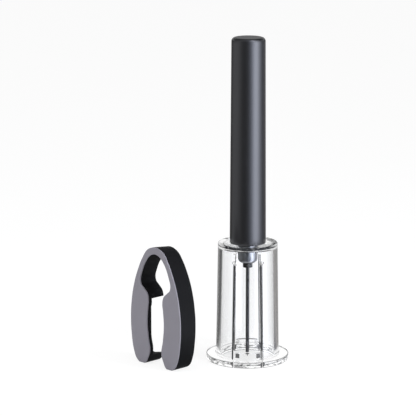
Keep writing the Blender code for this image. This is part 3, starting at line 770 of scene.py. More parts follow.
class Shape:
    """A solid in the making, in millimetres, on a bmesh."""

    def __init__(self) -> None:
        """Starts empty."""
        self.mesh = bmesh.new()

    @classmethod
    def turned(cls, corners: Sequence[Corner], steps: int = ROUND_STEPS, closed: bool = True,
               segments: int = ROUND_SEGMENTS) -> Shape:
        """Spins a profile about the upright axis.

        Args:
            corners: Radius, height and rounding of each corner, once round.
            steps: How many steps the full turn has.
            closed: False where both ends of the profile lie on the axis.
            segments: How many segments a rounded corner has.

        Returns:
            The closed solid.
        """
        shape = cls()
        wire = [shape.mesh.verts.new((radius, 0, height)) for radius, height, _ in corners]
        for first, second in zip(wire, wire[1:] + wire[:closed]):
            shape.mesh.edges.new((first, second))
        for vertex, (_, _, rounding) in zip(wire, corners):
            if rounding:
                shape.bevel([vertex], rounding, segments, "VERTICES")
        bmesh.ops.spin(shape.mesh, geom=shape.mesh.verts[:] + shape.mesh.edges[:], cent=(0, 0, 0),
                       axis=(0, 0, 1), dvec=(0, 0, 0), angle=FULL_TURN, steps=steps, use_merge=True)
        return shape.closed()

    @classmethod
    def ring(cls, outer: float, inner: float, low: float, high: float,
             rounding: float = EDGE_FINE) -> Shape:
        """A turned ring with rounded corners."""
        corners = [(outer, high), (outer, low), (inner, low), (inner, high)]
        return cls.turned([(*corner, rounding) for corner in corners])

    @classmethod
    def prism(cls, radius: float, low: float, high: float, sides: int = SMALL_STEPS) -> Shape:
        """An upright prism or cylinder on the axis.

        Args:
            radius: From the axis to a corner.
            low: Height of its lower face.
            high: Height of its upper face.
            sides: How many sides it has.

        Returns:
            The prism.
        """
        shape = cls()
        bmesh.ops.create_cone(shape.mesh, cap_ends=True, segments=sides, radius1=radius,
                              radius2=radius, depth=high - low,
                              matrix=Matrix.Translation((0, 0, (low + high) / 2)))
        return shape

    @classmethod
    def block(cls, low: Sequence[float], high: Sequence[float]) -> Shape:
        """A box between two corners.

        Args:
            low: Its least X, Y and height.
            high: Its greatest.

        Returns:
            The box.
        """
        shape = cls()
        bmesh.ops.create_cube(shape.mesh, size=1)
        size = Vector(high) - Vector(low)
        bmesh.ops.scale(shape.mesh, vec=size, verts=shape.mesh.verts)
        bmesh.ops.translate(shape.mesh, vec=Vector(low) + size / 2, verts=shape.mesh.verts)
        return shape

    @classmethod
    def plate(cls, points: Sequence[Vector], front: float, back: float, edge: float = 0.0,
              smooth: bool = True) -> Shape:
        """A plate of an outline, upright, with its thickness along Y.

        Args:
            points: The outline, once round, as X and height.
            front: Y of the front face.
            back: Y of the back face.
            edge: Rounding of the edges.
            smooth: True where the outline runs smoothly through its points.

        Returns:
            The plate.
        """
        curve = bpy.data.curves.new("outline", "CURVE")
        curve.dimensions, curve.fill_mode = "2D", "BOTH"
        curve.resolution_u = OUTLINE_SEGMENTS
        curve.bevel_depth, curve.bevel_resolution = edge, PLATE_SEGMENTS
        curve.offset, curve.extrude = -edge, (back - front) / 2 - edge
        spline = curve.splines.new("BEZIER" if smooth else "POLY")
        places = spline.bezier_points if smooth else spline.points
        places.add(len(points) - 1)
        for place, point in zip(places, points):
            place.co = (*point, 0) if smooth else (*point, 0, 1)
            if smooth:
                place.handle_left_type = place.handle_right_type = "AUTO"
        spline.use_cyclic_u = True
        flat = bpy.data.objects.new("outline", curve)
        bpy.context.scene.collection.objects.link(flat)
        bpy.context.view_layer.update()
        shape = cls()
        shape.take(flat)
        bpy.data.curves.remove(curve)
        upright = Matrix.Translation((0, (front + back) / 2, 0)) @ Matrix.Rotation(QUARTER_TURN, 4, "X")
        return shape.moved(upright).closed()

    def take(self, obj: bpy.types.Object) -> None:
        """Takes the evaluated mesh of a temporary object, and removes the object.

        Args:
            obj: The object, which is used up.
        """
        evaluated = obj.evaluated_get(bpy.context.evaluated_depsgraph_get())
        mesh = bpy.data.meshes.new_from_object(evaluated)
        self.mesh.clear()
        self.mesh.from_mesh(mesh)
        bpy.data.meshes.remove(mesh)
        bpy.data.objects.remove(obj)

    def bevel(self, geometry: Sequence[Any], width: float, segments: int, affect: str = "EDGES") -> None:
        """Rounds the given edges or vertices."""
        bmesh.ops.bevel(self.mesh, geom=geometry, offset=width, segments=segments, profile=0.5,
                        affect=affect, material=-1)

    def closed(self) -> Shape:
        """Merges doubles and turns the faces outwards.

        Returns:
            This shape.
        """
        bmesh.ops.remove_doubles(self.mesh, verts=self.mesh.verts, dist=MERGE)
        bmesh.ops.recalc_face_normals(self.mesh, faces=self.mesh.faces)
        return self

    def moved(self, matrix: Matrix) -> Shape:
        """Moves and turns the shape."""
        bmesh.ops.transform(self.mesh, matrix=matrix, verts=self.mesh.verts)
        return self

    def as_object(self, name: str) -> bpy.types.Object:
        """A scene object with this shape's mesh.

        Args:
            name: Its name.

        Returns:
            The object, linked to the scene.
        """
        mesh = bpy.data.meshes.new(name)
        self.mesh.to_mesh(mesh)
        made = bpy.data.objects.new(name, mesh)
        bpy.context.scene.collection.objects.link(made)
        return made

    def combined(self, tool: Shape, operation: Operation = Operation.CUT) -> Shape:
        """Cuts, joins or keeps with a tool shape.

        Args:
            tool: The other solid, which is used up.
            operation: What to do with it.

        Returns:
            This shape.
        """
        kept, other = self.as_object("kept"), tool.as_object("tool")
        modifier = kept.modifiers.new("combined", "BOOLEAN")
        modifier.operation, modifier.solver, modifier.object = operation.value, "EXACT", other
        bpy.context.view_layer.update()
        self.take(kept)
        bpy.data.objects.remove(other)
        tool.mesh.free()
        bmesh.ops.remove_doubles(self.mesh, verts=self.mesh.verts, dist=MERGE / 4)
        return self

    def softened(self, width: float) -> Shape:
        """Rounds the sharp edges.

        Args:
            width: Size of the rounding.

        Returns:
            This shape.
        """
        self.bevel([edge for edge in self.mesh.edges if edge.calc_face_angle(0.0) > SHARP_ANGLE],
                   width, FEW_SEGMENTS)
        return self


@dataclass
class Stand:
    """Where a sub-assembly stands, and how its pieces join the frame."""

    place: Matrix
    made: list[bpy.types.Object] = field(default_factory=list)

    def add(self, shape: Shape, name: str, node: str, body: Body, slot: Slot) -> bpy.types.Object:
        """Turns a shape into a finished piece.

        Args:
            shape: The shape in its own frame, in millimetres.
            name: The piece's name.
            node: The CAD node that it stands for.
            body: The body that it rides on.
            slot: The record's slot of its finish.

        Returns:
            The piece, at the origin, with its place in its mesh.
        """
        piece = shape.moved(Matrix.Scale(MM, 4) @ self.place).as_object(name)
        shape.mesh.free()
        piece.data.shade_smooth()
        piece.data.set_sharp_from_angle(angle=SHARP_ANGLE)
        even = piece.modifiers.new("even_shading", "WEIGHTED_NORMAL")
        even.keep_sharp = True
        piece.data.materials.append(finish_of(slot))
        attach(piece, body.value)
        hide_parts(node)
        self.made.append(piece)
        LOG.info("%s stands for %s: %d faces", name, node, len(piece.data.polygons))
        return piece


@dataclass
class NeckHousing:
    """Clear sleeve with a flange and a dished top, and slits that leave two tongues."""

    height: float = 72.85
    rim_radius: float = 18.3
    foot_radius: float = 19.4
    wall: float = 2.6
    plate: float = 1.8
    bore: float = 4.3
    flange_radius: float = 25.4
    flange_thickness: float = 3.6
    rim_round: float = 0.8
    dish: float = 0.65
    dish_radius: float = 12.0
    foot_fillet: float = 1.0
    inner_fillet: float = 1.2
    flange_edge: float = 0.5
    mouth_edge: float = 0.8
    ledge_height: float = 7.6
    ledge_rise: float = 0.35
    ledge_depth: float = 1.3
    ledge_half_width: float = 7.0
    tooth_low: tuple[float, float, float] = (5.0, 14.3, 4.2)
    tooth_high: tuple[float, float, float] = (7.2, 17.0, 6.9)
    tooth_edge: float = 0.15

    def build(self, stand: Stand) -> None:
        """Builds the sleeve with its ledges, teeth and slits.

        Args:
            stand: Where the pieces stand and what they join.
        """
        mouth, ceiling = self.foot_radius - self.wall, self.rim_radius - self.wall
        underside = self.height - self.plate
        sleeve = Shape.turned([
            (self.bore, self.height, EDGE_FINE),
            (self.dish_radius, self.height, EDGE_SOFT),
            (self.rim_radius, self.height + self.dish, self.rim_round),
            (self.foot_radius, self.flange_thickness, self.foot_fillet),
            (self.flange_radius, self.flange_thickness, self.flange_edge),
            (self.flange_radius, 0, self.flange_edge),
            (mouth, 0, self.mouth_edge),
            (ceiling, underside, self.inner_fillet),
            (self.bore, underside, EDGE_FINE),
        ], FINE_STEPS, segments=RIM_SEGMENTS)
        sleeve.combined(self.ledges(mouth, ceiling, underside), Operation.JOIN)
        for turn in (0.0, math.pi):
            for side in (1, -1):
                sleeve.combined(self.tooth(side).moved(Matrix.Rotation(turn, 4, "Z")), Operation.JOIN)
        reach, half = self.flange_radius + OVERRUN, SLITS.width / 2
        for side in (1, -1):
            slit = Shape.block((-half, -reach, -OVERRUN), (half, reach, SLITS.top))
            foot = Matrix.Translation((side * SLITS.at_foot, 0, 0))
            sleeve.combined(slit.moved(foot @ Matrix.Rotation(-side * SLITS.taper, 4, "Y")))
            end = Matrix.Translation((side * SLITS.at_top, 0, SLITS.top))
            hole = Shape.prism(SLITS.end_radius, -reach, reach)
            sleeve.combined(hole.moved(end @ Matrix.Rotation(QUARTER_TURN, 4, "X")))
        stand.add(sleeve, "neck_sleeve", "clear_housing", Body.OPENER, Slot.CLEAR_PLASTIC)

    def ledges(self, mouth: float, ceiling: float, underside: float) -> Shape:
        """The low ledge inside both tongues that snaps under the bottle's lip.

        Args:
            mouth: Radius of the wall's inner side at the foot.
            ceiling: The same under the top plate.
            underside: Height of the top plate's underside.

        Returns:
            Both ledges as one shape.
        """
        wall = mouth + (ceiling - mouth) * self.ledge_height / underside
        root, half = wall + self.wall / 2, self.ledge_depth / 2
        low, middle, high = self.ledge_height - half, self.ledge_height, self.ledge_height + half
        ring = Shape.turned([
            (root, high, 0), (root, low, 0), (wall, low, 0), (wall - self.ledge_rise, middle, EDGE_EASED),
            (wall, high, 0),
        ], FINE_STEPS)
        span = Shape.block((-self.ledge_half_width, -self.flange_radius, low - OVERRUN),
                           (self.ledge_half_width, self.flange_radius, high + OVERRUN))
        return ring.combined(span, Operation.KEEP)

    def tooth(self, side: int) -> Shape:
        """A small square tooth below the ledge, let into the wall.

        Args:
            side: 1 on the right and -1 on the left.

        Returns:
            The front tongue's tooth on that side.
        """
        sides = sorted((side * self.tooth_low[0], side * self.tooth_high[0]))
        tooth = Shape.block((sides[0], *self.tooth_low[1:]), (sides[1], *self.tooth_high[1:]))
        return tooth.softened(self.tooth_edge)


@dataclass
class NeedleSet:
    """Holder, collar, needle and seal under the housing's top plate."""

    holder_radius: float = 6.0
    holder_base: float = 60.95
    holder_top: float = 70.75
    holder_floor_top: float = 63.25
    holder_round: float = 2.6
    socket: float = 4.3
    hole: float = 1.4
    collar_across_flats: float = 5.8
    collar_base: float = 57.95
    collar_top: float = 60.65
    needle_radius: float = 1.1
    needle_bore: float = 0.5
    head_radius: float = 2.9
    head_top: float = 64.35
    head_thickness: float = 0.8
    tip: float = 0.6
    point_length: float = 2.6
    point_radius: float = 0.45
    shoulder_length: float = 0.5
    outlet_radius: float = 0.4
    outlet_height: float = 9.0
    bore_below_outlet: float = 1.0
    seal_outer: float = 4.0
    seal_inner: float = 2.5
    seal_base: float = 64.65
    seal_top: float = 65.45

    def build(self, stand: Stand) -> None:
        """Builds the four pieces.

        Args:
            stand: Where the pieces stand and what they join.
        """
        holder = Shape.turned([
            (self.holder_radius, self.holder_top, EDGE_ROUND),
            (self.holder_radius, self.holder_base, self.holder_round),
            (self.hole, self.holder_base, EDGE_CRISP),
            (self.hole, self.holder_floor_top, EDGE_CRISP),
            (self.socket, self.holder_floor_top, EDGE_FINE),
            (self.socket, self.holder_top, EDGE_EASED),
        ], segments=MANY_SEGMENTS)
        stand.add(holder, "domed_holder", "needle_holder", Body.OPENER, Slot.BRIGHT_METAL)
        collar = hex_piece(self.collar_across_flats, self.collar_base, self.collar_top, self.hole)
        stand.add(collar, "hex_collar", "needle_collar", Body.OPENER, Slot.DARK_PLASTIC)
        stand.add(self.needle(), "hollow_needle", "air_needle", Body.OPENER, Slot.NEEDLE_DARK)
        seal = Shape.ring(self.seal_outer, self.seal_inner, self.seal_base, self.seal_top, EDGE_NEAT)
        stand.add(seal, "spigot_seal", "holder_seal", Body.OPENER, Slot.RUBBER)

    def needle(self) -> Shape:
        """Hollow needle with a head, a closed point and a side outlet.

        Returns:
            The needle on the axis.
        """
        point_top = self.tip + self.point_length
        bore_end = self.outlet_height - self.bore_below_outlet
        needle = Shape.turned([
            (0, bore_end, 0),
            (self.needle_bore, bore_end, 0),
            (self.needle_bore, self.head_top, EDGE_HAIR),
            (self.head_radius, self.head_top, EDGE_CRISP),
            (self.head_radius, self.head_top - self.head_thickness, EDGE_CRISP),
            (self.needle_radius, self.head_top - self.head_thickness, EDGE_CRISP),
            (self.needle_radius, point_top + self.shoulder_length, EDGE_CRISP),
            (self.point_radius, point_top, EDGE_HAIR),
            (0, self.tip, 0),
        ], SMALL_STEPS, closed=False)
        sideways = Matrix.Translation((0, 0, self.outlet_height)) @ Matrix.Rotation(QUARTER_TURN, 4, "Y")
        drill = Shape.prism(self.outlet_radius, 0, self.needle_radius + OVERRUN, DRILL_STEPS)
        return needle.combined(drill.moved(sideways))


def hex_piece(across_flats: float, low: float, high: float, bore: float) -> Shape:
    """A six-sided nut or collar with chamfered corners and a plain bore.

    Args:
        across_flats: Its width over two flats.
        low: Height of its lower face.
        high: Height of its upper face.
        bore: Radius of its hole.

    Returns:
        The nut.
    """
    corner = across_flats / 2 / math.cos(math.pi / HEX_SIDES)
    nut = Shape.prism(corner, low, high, HEX_SIDES)
    outside, slope = corner + EDGE_NEAT, EDGE_NEAT * 2
    lathe = Shape.turned([
        (0, low, 0), (across_flats / 2, low, 0), (outside, low + slope, 0),
        (outside, high - slope, 0), (across_flats / 2, high, 0), (0, high, 0),
    ], SMALL_STEPS, closed=False)
    nut.combined(lathe, Operation.KEEP)
    return nut.combined(Shape.prism(bore, low - OVERRUN, high + OVERRUN))


@dataclass
class PumpBarrel:
    """Barrel with the valve seat and spigot, its gasket and its guide cap."""

    radius: float = 8.5
    bore: float = 7.4
    base: float = 74.25
    floor_top: float = 76.75
    top: float = 187.6
    spigot_radius: float = 4.0
    spigot_end: float = 65.75
    chamber_radius: float = 2.1
    seat_base: float = 71.85
    seat_radius: float = 0.9
    gasket_base: float = 73.15
    gasket_top: float = 73.95
    cap_base: float = 181.9
    cap_shoulder: float = 188.2
    cap_top: float = 189.9
    guide: float = 2.8
    vent_radius: float = 0.6
    vent_count: int = 3

    def build(self, stand: Stand) -> None:
        """Builds the barrel, the gasket and the cap.

        Args:
            stand: Where the pieces stand and what they join.
        """
        barrel = Shape.turned([
            (self.radius, self.top, EDGE_EASED),
            (self.radius, self.base, EDGE_EASED),
            (self.spigot_radius, self.base, EDGE_NEAT),
            (self.spigot_radius, self.spigot_end, EDGE_EASED),
            (self.chamber_radius, self.spigot_end, EDGE_CRISP),
            (self.chamber_radius, self.seat_base, EDGE_EASED),
            (self.seat_radius, self.seat_base, EDGE_FINE),
            (self.seat_radius, self.floor_top, EDGE_FINE),
            (self.bore, self.floor_top, EDGE_ROUND),
            (self.bore, self.top, EDGE_NEAT),
        ])
        stand.add(barrel, "barrel_tube", "pump_barrel", Body.OPENER, Slot.PUMP_WHITE)
        gasket = Shape.ring(self.radius - FIT_GAP, self.spigot_radius + FIT_GAP,
                            self.gasket_base, self.gasket_top, EDGE_NEAT)
        stand.add(gasket, "foot_gasket", "barrel_gasket", Body.OPENER, Slot.RUBBER)
        plug = self.bore - FIT_GAP
        cap = Shape.turned([
            (self.radius, self.cap_top, EDGE_SOFT),
            (self.radius, self.cap_shoulder, EDGE_FINE),
            (plug, self.cap_shoulder, EDGE_FINE),
            (plug, self.cap_base, EDGE_SOFT),
            (self.guide, self.cap_base, EDGE_EASED),
            (self.guide, self.cap_top, EDGE_EASED),
        ])
        middle = (self.guide + plug) / 2
        for index in range(self.vent_count):
            turn = Matrix.Rotation(FULL_TURN * index / self.vent_count, 4, "Z")
            vent = Shape.prism(self.vent_radius, self.cap_base - OVERRUN, self.cap_top + OVERRUN,
                               DRILL_STEPS)
            cap.combined(vent.moved(turn @ Matrix.Translation((middle, 0, 0))))
        stand.add(cap, "guide_cap", "barrel_cap", Body.OPENER, Slot.DARK_PLASTIC)


@dataclass
class CheckValve:
    """Ball under the valve seat. The spring stays the CAD node, because it deforms."""

    ball_radius: float = 1.55
    ball_height: float = 70.1767

    def build(self, stand: Stand) -> None:
        """Builds the ball and gives the spring its steel.

        Args:
            stand: Where the pieces stand and what they join.
        """
        ball = Shape()
        bmesh.ops.create_uvsphere(ball.mesh, u_segments=SMALL_STEPS, v_segments=SMALL_STEPS // 2,
                                  radius=self.ball_radius,
                                  matrix=Matrix.Translation((0, 0, self.ball_height)))
        stand.add(ball, "seat_ball", "valve_ball", Body.CHECK_BALL, Slot.STEEL)
        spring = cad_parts["valve_spring"]
        spring.data.materials.clear()
        spring.data.materials.append(finish_of(Slot.STEEL))
        LOG.info("valve_spring keeps its CAD form")


@dataclass
class SlidingHandle:
    """Closed tapered handle with its bush, plug and nut."""

    base: float = 73.2
    top: float = 200.0
    lower_radius: float = 11.1
    upper_radius: float = 10.35
    wall: float = 0.9
    end_wall: float = 1.6
    end_round: float = 2.4
    end_inner_round: float = 0.8
    bush_base: float = 73.8
    bush_top: float = 85.8
    bush_outer: float = 9.824
    bush_inner: float = 8.9
    plug_base: float = 191.2
    plug_top: float = 195.2
    thread_hole: float = 2.05
    nut_across_flats: float = 5.5
    nut_base: float = 195.5
    nut_top: float = 197.7

    def build(self, stand: Stand) -> None:
        """Builds the four pieces.

        Args:
            stand: Where the pieces stand and what they join.
        """
        ceiling = self.top - self.end_wall
        shell = Shape.turned([
            (0, self.top, 0),
            (self.upper_radius, self.top, self.end_round),
            (self.lower_radius, self.base, EDGE_ROUND),
            (self.lower_radius - self.wall, self.base, EDGE_FINE),
            (self.upper_radius - self.wall, ceiling, self.end_inner_round),
            (0, ceiling, 0),
        ], FINE_STEPS, closed=False, segments=MANY_SEGMENTS)
        stand.add(shell, "satin_handle", "handle_shell", Body.HANDLE, Slot.HANDLE_BLACK)
        bush = Shape.ring(self.bush_outer, self.bush_inner, self.bush_base, self.bush_top, EDGE_NEAT)
        stand.add(bush, "guide_bush", "handle_bush", Body.HANDLE, Slot.PUMP_WHITE)
        plug = Shape.ring(self.upper_radius - self.wall - FIT_GAP, self.thread_hole,
                          self.plug_base, self.plug_top, EDGE_EASED)
        stand.add(plug, "anchor_plug", "handle_plug", Body.HANDLE, Slot.PUMP_WHITE)
        nut = hex_piece(self.nut_across_flats, self.nut_base, self.nut_top, self.thread_hole)
        stand.add(nut, "anchor_nut", "rod_nut", Body.HANDLE, Slot.STEEL)


@dataclass
class Piston:
    """Rod, piston disc, cup seal and nut."""

    rod_radius: float = 2.5
    thread_radius: float = 1.75
    rod_base: float = 77.65
    shoulder_low: float = 85.35
    shoulder_high: float = 190.9
    rod_top: float = 198.1
    thread_hole: float = 2.05
    disc_radius: float = 6.9
    disc_base: float = 82.05
    disc_top: float = 85.05
    cup_base: float = 77.75
    cup_top: float = 81.75
    cup_lip_radius: float = 7.1
    cup_root_radius: float = 6.6
    cup_lip: float = 1.0
    cup_floor: float = 1.2
    nut_across_flats: float = 5.5
    nut_base: float = 78.05
    nut_top: float = 80.25

    def build(self, stand: Stand) -> None:
        """Builds the four pieces.

        Args:
            stand: Where the pieces stand and what they join.
        """
        rod = Shape.turned([
            (0, self.rod_top, 0),
            (self.thread_radius, self.rod_top, EDGE_SOFT),
            (self.thread_radius, self.shoulder_high, EDGE_HAIR),
            (self.rod_radius, self.shoulder_high, EDGE_NEAT),
            (self.rod_radius, self.shoulder_low, EDGE_NEAT),
            (self.thread_radius, self.shoulder_low, EDGE_HAIR),
            (self.thread_radius, self.rod_base, EDGE_SOFT),
            (0, self.rod_base, 0),
        ], SMALL_STEPS, closed=False)
        stand.add(rod, "drive_rod", "piston_rod", Body.HANDLE, Slot.STEEL)
        disc = Shape.ring(self.disc_radius, self.thread_hole, self.disc_base, self.disc_top, EDGE_EASED)
        stand.add(disc, "pressure_disc", "piston_disc", Body.HANDLE, Slot.PUMP_WHITE)
        cup = Shape.turned([
            (self.cup_root_radius, self.cup_top, EDGE_SOFT),
            (self.cup_lip_radius, self.cup_base, EDGE_FINE),
            (self.cup_lip_radius - self.cup_lip, self.cup_base, EDGE_FINE),
            (self.cup_root_radius - self.cup_lip, self.cup_top - self.cup_floor, EDGE_SOFT),
            (self.thread_hole, self.cup_top - self.cup_floor, EDGE_CRISP),
            (self.thread_hole, self.cup_top, EDGE_CRISP),
        ])
        stand.add(cup, "flared_cup", "cup_seal", Body.HANDLE, Slot.RUBBER)
        nut = hex_piece(self.nut_across_flats, self.nut_base, self.nut_top, self.thread_hole)
        stand.add(nut, "clamp_nut", "piston_nut", Body.HANDLE, Slot.STEEL)


# The foil cutter's outline: shares of its half width and of its height.
OUTER_EDGE_SHARES = (
    (0.0, 1.0), (0.191, 0.988), (0.341, 0.961), (0.48, 0.908), (0.673, 0.803), (0.87, 0.648),
    (0.977, 0.483), (1.0, 0.371), (0.97, 0.227), (0.88, 0.095), (0.745, 0.024), (0.54, 0.0),
)
# The arms' inner side: shares of the waist, out from the gap, and of the pocket's top.
ARM_EDGE_SHARES = (
    (2.2, 0.026), (0.85, 0.105), (-0.3, 0.215), (0.6, 0.42), (1.2, 0.64), (0.8, 0.86),
    (0.38, 0.995), (1.1, 1.088), (2.9, 1.15), (4.9, 1.225),
)
WHEEL_SIDES = {
    "upper_left": (-1, 1), "lower_left": (-1, -1), "upper_right": (1, 1), "lower_right": (1, -1),
}


@dataclass
class FoilCutter:
    """Bow with two arms, a pocket for the bottle's lip, and four cutting wheels."""

    half_width: float = 21.91
    height: float = 74.9
    bow_thicknesses: tuple[float, ...] = (4.3, 4.2, 4.1, 3.5, 3.45)
    arm_gap: float = 11.4
    waist: float = 1.5
    front: float = -6.6
    face_thickness: float = 0.9
    body_front: float = -5.4
    back: float = 6.6
    edge: float = 0.2
    lip_back: float = -3.4
    pocket_half_width: float = 17.5
    pocket_base: float = 5.9
    pocket_fall: float = 2.4
    pocket_top: float = 41.5
    pocket_corner: float = 3.5
    crown_from: float = 52.0
    crown_fall: float = 1.3
    foot_flat: float = 0.25
    face_foot_flat: float = 0.55
    wheel_x: float = 13.9
    wheel_level: float = 13.3
    wheel_middle: float = 0.8
    wheel_radius: float = 3.2
    hub_radius: float = 1.9
    hub_half: float = 0.8
    disc_half: float = 0.25
    rim_half: float = 0.05
    rim_bevel: float = 0.8
    bore: float = 1.1
    pin_radius: float = 0.8
    pin_front: float = -4.2
    pin_head_radius: float = 1.6
    pin_head_thickness: float = 0.7
    pin_head_round: float = 0.35
    boss_root: float = 1.0
    left_of_axis: float = 51.9
    before_axis: float = 16.0
    turned: float = math.radians(45.5)

    def place(self, axis: Vector) -> Matrix:
        """Where it stands beside the opener's axis, in millimetres, with its feet on the table."""
        foot = axis - Vector((self.left_of_axis, self.before_axis, self.foot_flat))
        return Matrix.Translation(foot) @ Matrix.Rotation(-self.turned, 4, "Z")

    def outline(self) -> list[Vector]:
        """Points of the cutter's edge, once round, from the crown of the bow.

        Returns:
            X and height of each point.
        """
        outer = [Vector((x * self.half_width, z * self.height)) for x, z in OUTER_EDGE_SHARES]
        arm = [Vector((self.arm_gap / 2 + self.waist * out, self.pocket_top * up))
               for out, up in ARM_EDGE_SHARES]
        bow = [outer[0] - Vector((0, self.bow_thicknesses[0]))]
        for index, thickness in enumerate(self.bow_thicknesses[1:], start=1):
            along = (outer[index + 1] - outer[index - 1]).normalized()
            bow.append(outer[index] + thickness * Vector((along.y, -along.x)))
        half = outer + arm + bow[:0:-1]
        return half + [bow[0]] + [Vector((-point.x, point.y)) for point in reversed(half[1:])]

    def pocket(self) -> Shape:
        """The space for the bottle's lip, open at the back.

        Returns:
            What is cut out of the body.
        """
        gap, side, low = self.arm_gap / 2, self.pocket_half_width, self.pocket_base - self.pocket_fall
        points = [Vector(p) for p in (
            (gap, self.pocket_base), (side, low), (side, self.pocket_top),
            (-side, self.pocket_top), (-side, low), (-gap, self.pocket_base),
        )]
        space = Shape.plate(points, self.lip_back, self.back + OVERRUN, smooth=False)
        corners = [edge for edge in space.mesh.edges
                   if abs(edge.verts[0].co.y - edge.verts[1].co.y) > OVERRUN
                   and abs(edge.verts[0].co.x) > gap + OVERRUN]
        space.bevel(corners, self.pocket_corner, MANY_SEGMENTS)
        return space

    def stations(self) -> list[tuple[str, Matrix]]:
        """Name and place of each wheel, with its axis along the pin.

        Returns:
            Pairs of a name and a matrix.
        """
        middle = (self.pocket_base + self.pocket_top) / 2
        return [
            (name, Matrix.Translation((side * self.wheel_x, 0, middle + level * self.wheel_level))
             @ Matrix.Rotation(-QUARTER_TURN, 4, "X"))
            for name, (side, level) in WHEEL_SIDES.items()
        ]

    def build(self, stand: Stand) -> None:
        """Builds the body, the face, the wheels and the pins.

        Args:
            stand: Where the pieces stand and what they join.
        """
        outline = self.outline()
        body = self.drawn_in(Shape.plate(outline, self.body_front, self.back, self.edge))
        body.combined(self.pocket())
        boss_top = self.wheel_middle - self.hub_half - FIT_GAP
        for _, place in self.stations():
            boss = Shape.prism(self.hub_radius, self.lip_back - self.boss_root, boss_top)
            body.combined(boss.moved(place), Operation.JOIN)
            body.combined(Shape.prism(self.bore, self.pin_front, boss_top + OVERRUN).moved(place))
        body.combined(self.ground(self.foot_flat))
        stand.add(body, "bow_body", "cutter_body", Body.FOIL_CUTTER, Slot.CUTTER_BLACK)
        face = Shape.plate(outline, self.front, self.front + self.face_thickness, self.edge)
        face.combined(self.ground(self.face_foot_flat))
        stand.add(face, "bow_face", "cutter_face", Body.FOIL_CUTTER, Slot.CUTTER_GREY)
        for name, place in self.stations():
            stand.add(self.wheel().moved(place), f"{name}_blade", f"{name}_wheel",
                      Body(f"wheel_{name}"), Slot.STEEL)
            stand.add(self.pin().moved(place), f"{name}_rivet", f"{name}_pin",
                      Body.FOIL_CUTTER, Slot.STEEL)

    def drawn_in(self, body: Shape) -> Shape:
        """Lowers the crown towards its back, as the mould's draft does.

        Args:
            body: The body with straight sides.

        Returns:
            The same shape with its draft.
        """
        for vertex in body.mesh.verts:
            up = (vertex.co.z - self.crown_from) / (self.height - self.crown_from)
            back = (vertex.co.y - self.body_front) / (self.back - self.body_front)
            if up > 0:
                eased = up * up * (3 - 2 * min(up, 1.0))
                vertex.co.z -= self.crown_fall * back * eased
        return body

    def ground(self, level: float) -> Shape:
        """What lies under a level, to cut the feet flat."""
        reach = self.half_width + OVERRUN
        return Shape.block((-reach, -reach, -OVERRUN), (reach, reach, level))

    def wheel(self) -> Shape:
        """A cutting wheel on the axis of its pin.

        Returns:
            The wheel, with its axis upright.
        """
        middle, inner = self.wheel_middle, self.wheel_radius - self.rim_bevel
        half = [(self.bore, self.hub_half, EDGE_HAIR), (self.hub_radius, self.hub_half, EDGE_CRISP),
                (self.hub_radius, self.disc_half, EDGE_HAIR), (inner, self.disc_half, 0),
                (self.wheel_radius, self.rim_half, 0)]
        corners = [(radius, middle + height, rounding) for radius, height, rounding in half]
        corners += [(radius, middle - height, rounding) for radius, height, rounding in reversed(half)]
        return Shape.turned(corners, SMALL_STEPS, segments=FEW_SEGMENTS)

    def pin(self) -> Shape:
        """A headed pin on its axis.

        Returns:
            The pin, with its axis upright.
        """
        base, shoulder = self.pin_front + FIT_GAP, self.wheel_middle + self.hub_half + FIT_GAP
        top = shoulder + self.pin_head_thickness
        return Shape.turned([
            (0, top, 0),
            (self.pin_head_radius, top, self.pin_head_round),
            (self.pin_head_radius, shoulder, EDGE_HAIR),
            (self.pin_radius, shoulder, EDGE_HAIR),
            (self.pin_radius, base, EDGE_FINE),
            (0, base, 0),
        ], SMALL_STEPS, closed=False)


@dataclass(frozen=True)
class SoftBox:
    """A soft rectangular lamp beside or above the object, in metres and degrees.

    Azimuth 0 stands before the set, and 90 on its right.
    """

    name: str
    azimuth: float
    distance: float
    middle: float
    looks_at: float
    width: float
    height: float
    level: float
    tint: Colour = WHITE

    def build(self) -> None:
        """Puts the lamp up, seen by no ray but those that light a surface."""
        turn = math.radians(self.azimuth)
        place = Vector((math.sin(turn) * self.distance, -math.cos(turn) * self.distance, self.middle))
        lamp = bpy.data.lights.new(self.name, "AREA")
        lamp.shape = "RECTANGLE"
        lamp.size, lamp.size_y = self.width, self.height
        lamp.color = self.tint
        lamp.energy = self.level * math.pi * self.width * self.height
        made = bpy.data.objects.new(self.name, lamp)
        made.location = place
        made.rotation_mode = "QUATERNION"
        made.rotation_quaternion = (Vector((0, 0, self.looks_at)) - place).to_track_quat("-Z", "Y")
        made.visible_camera = made.visible_glossy = made.visible_transmission = False
        bpy.context.scene.collection.objects.link(made)


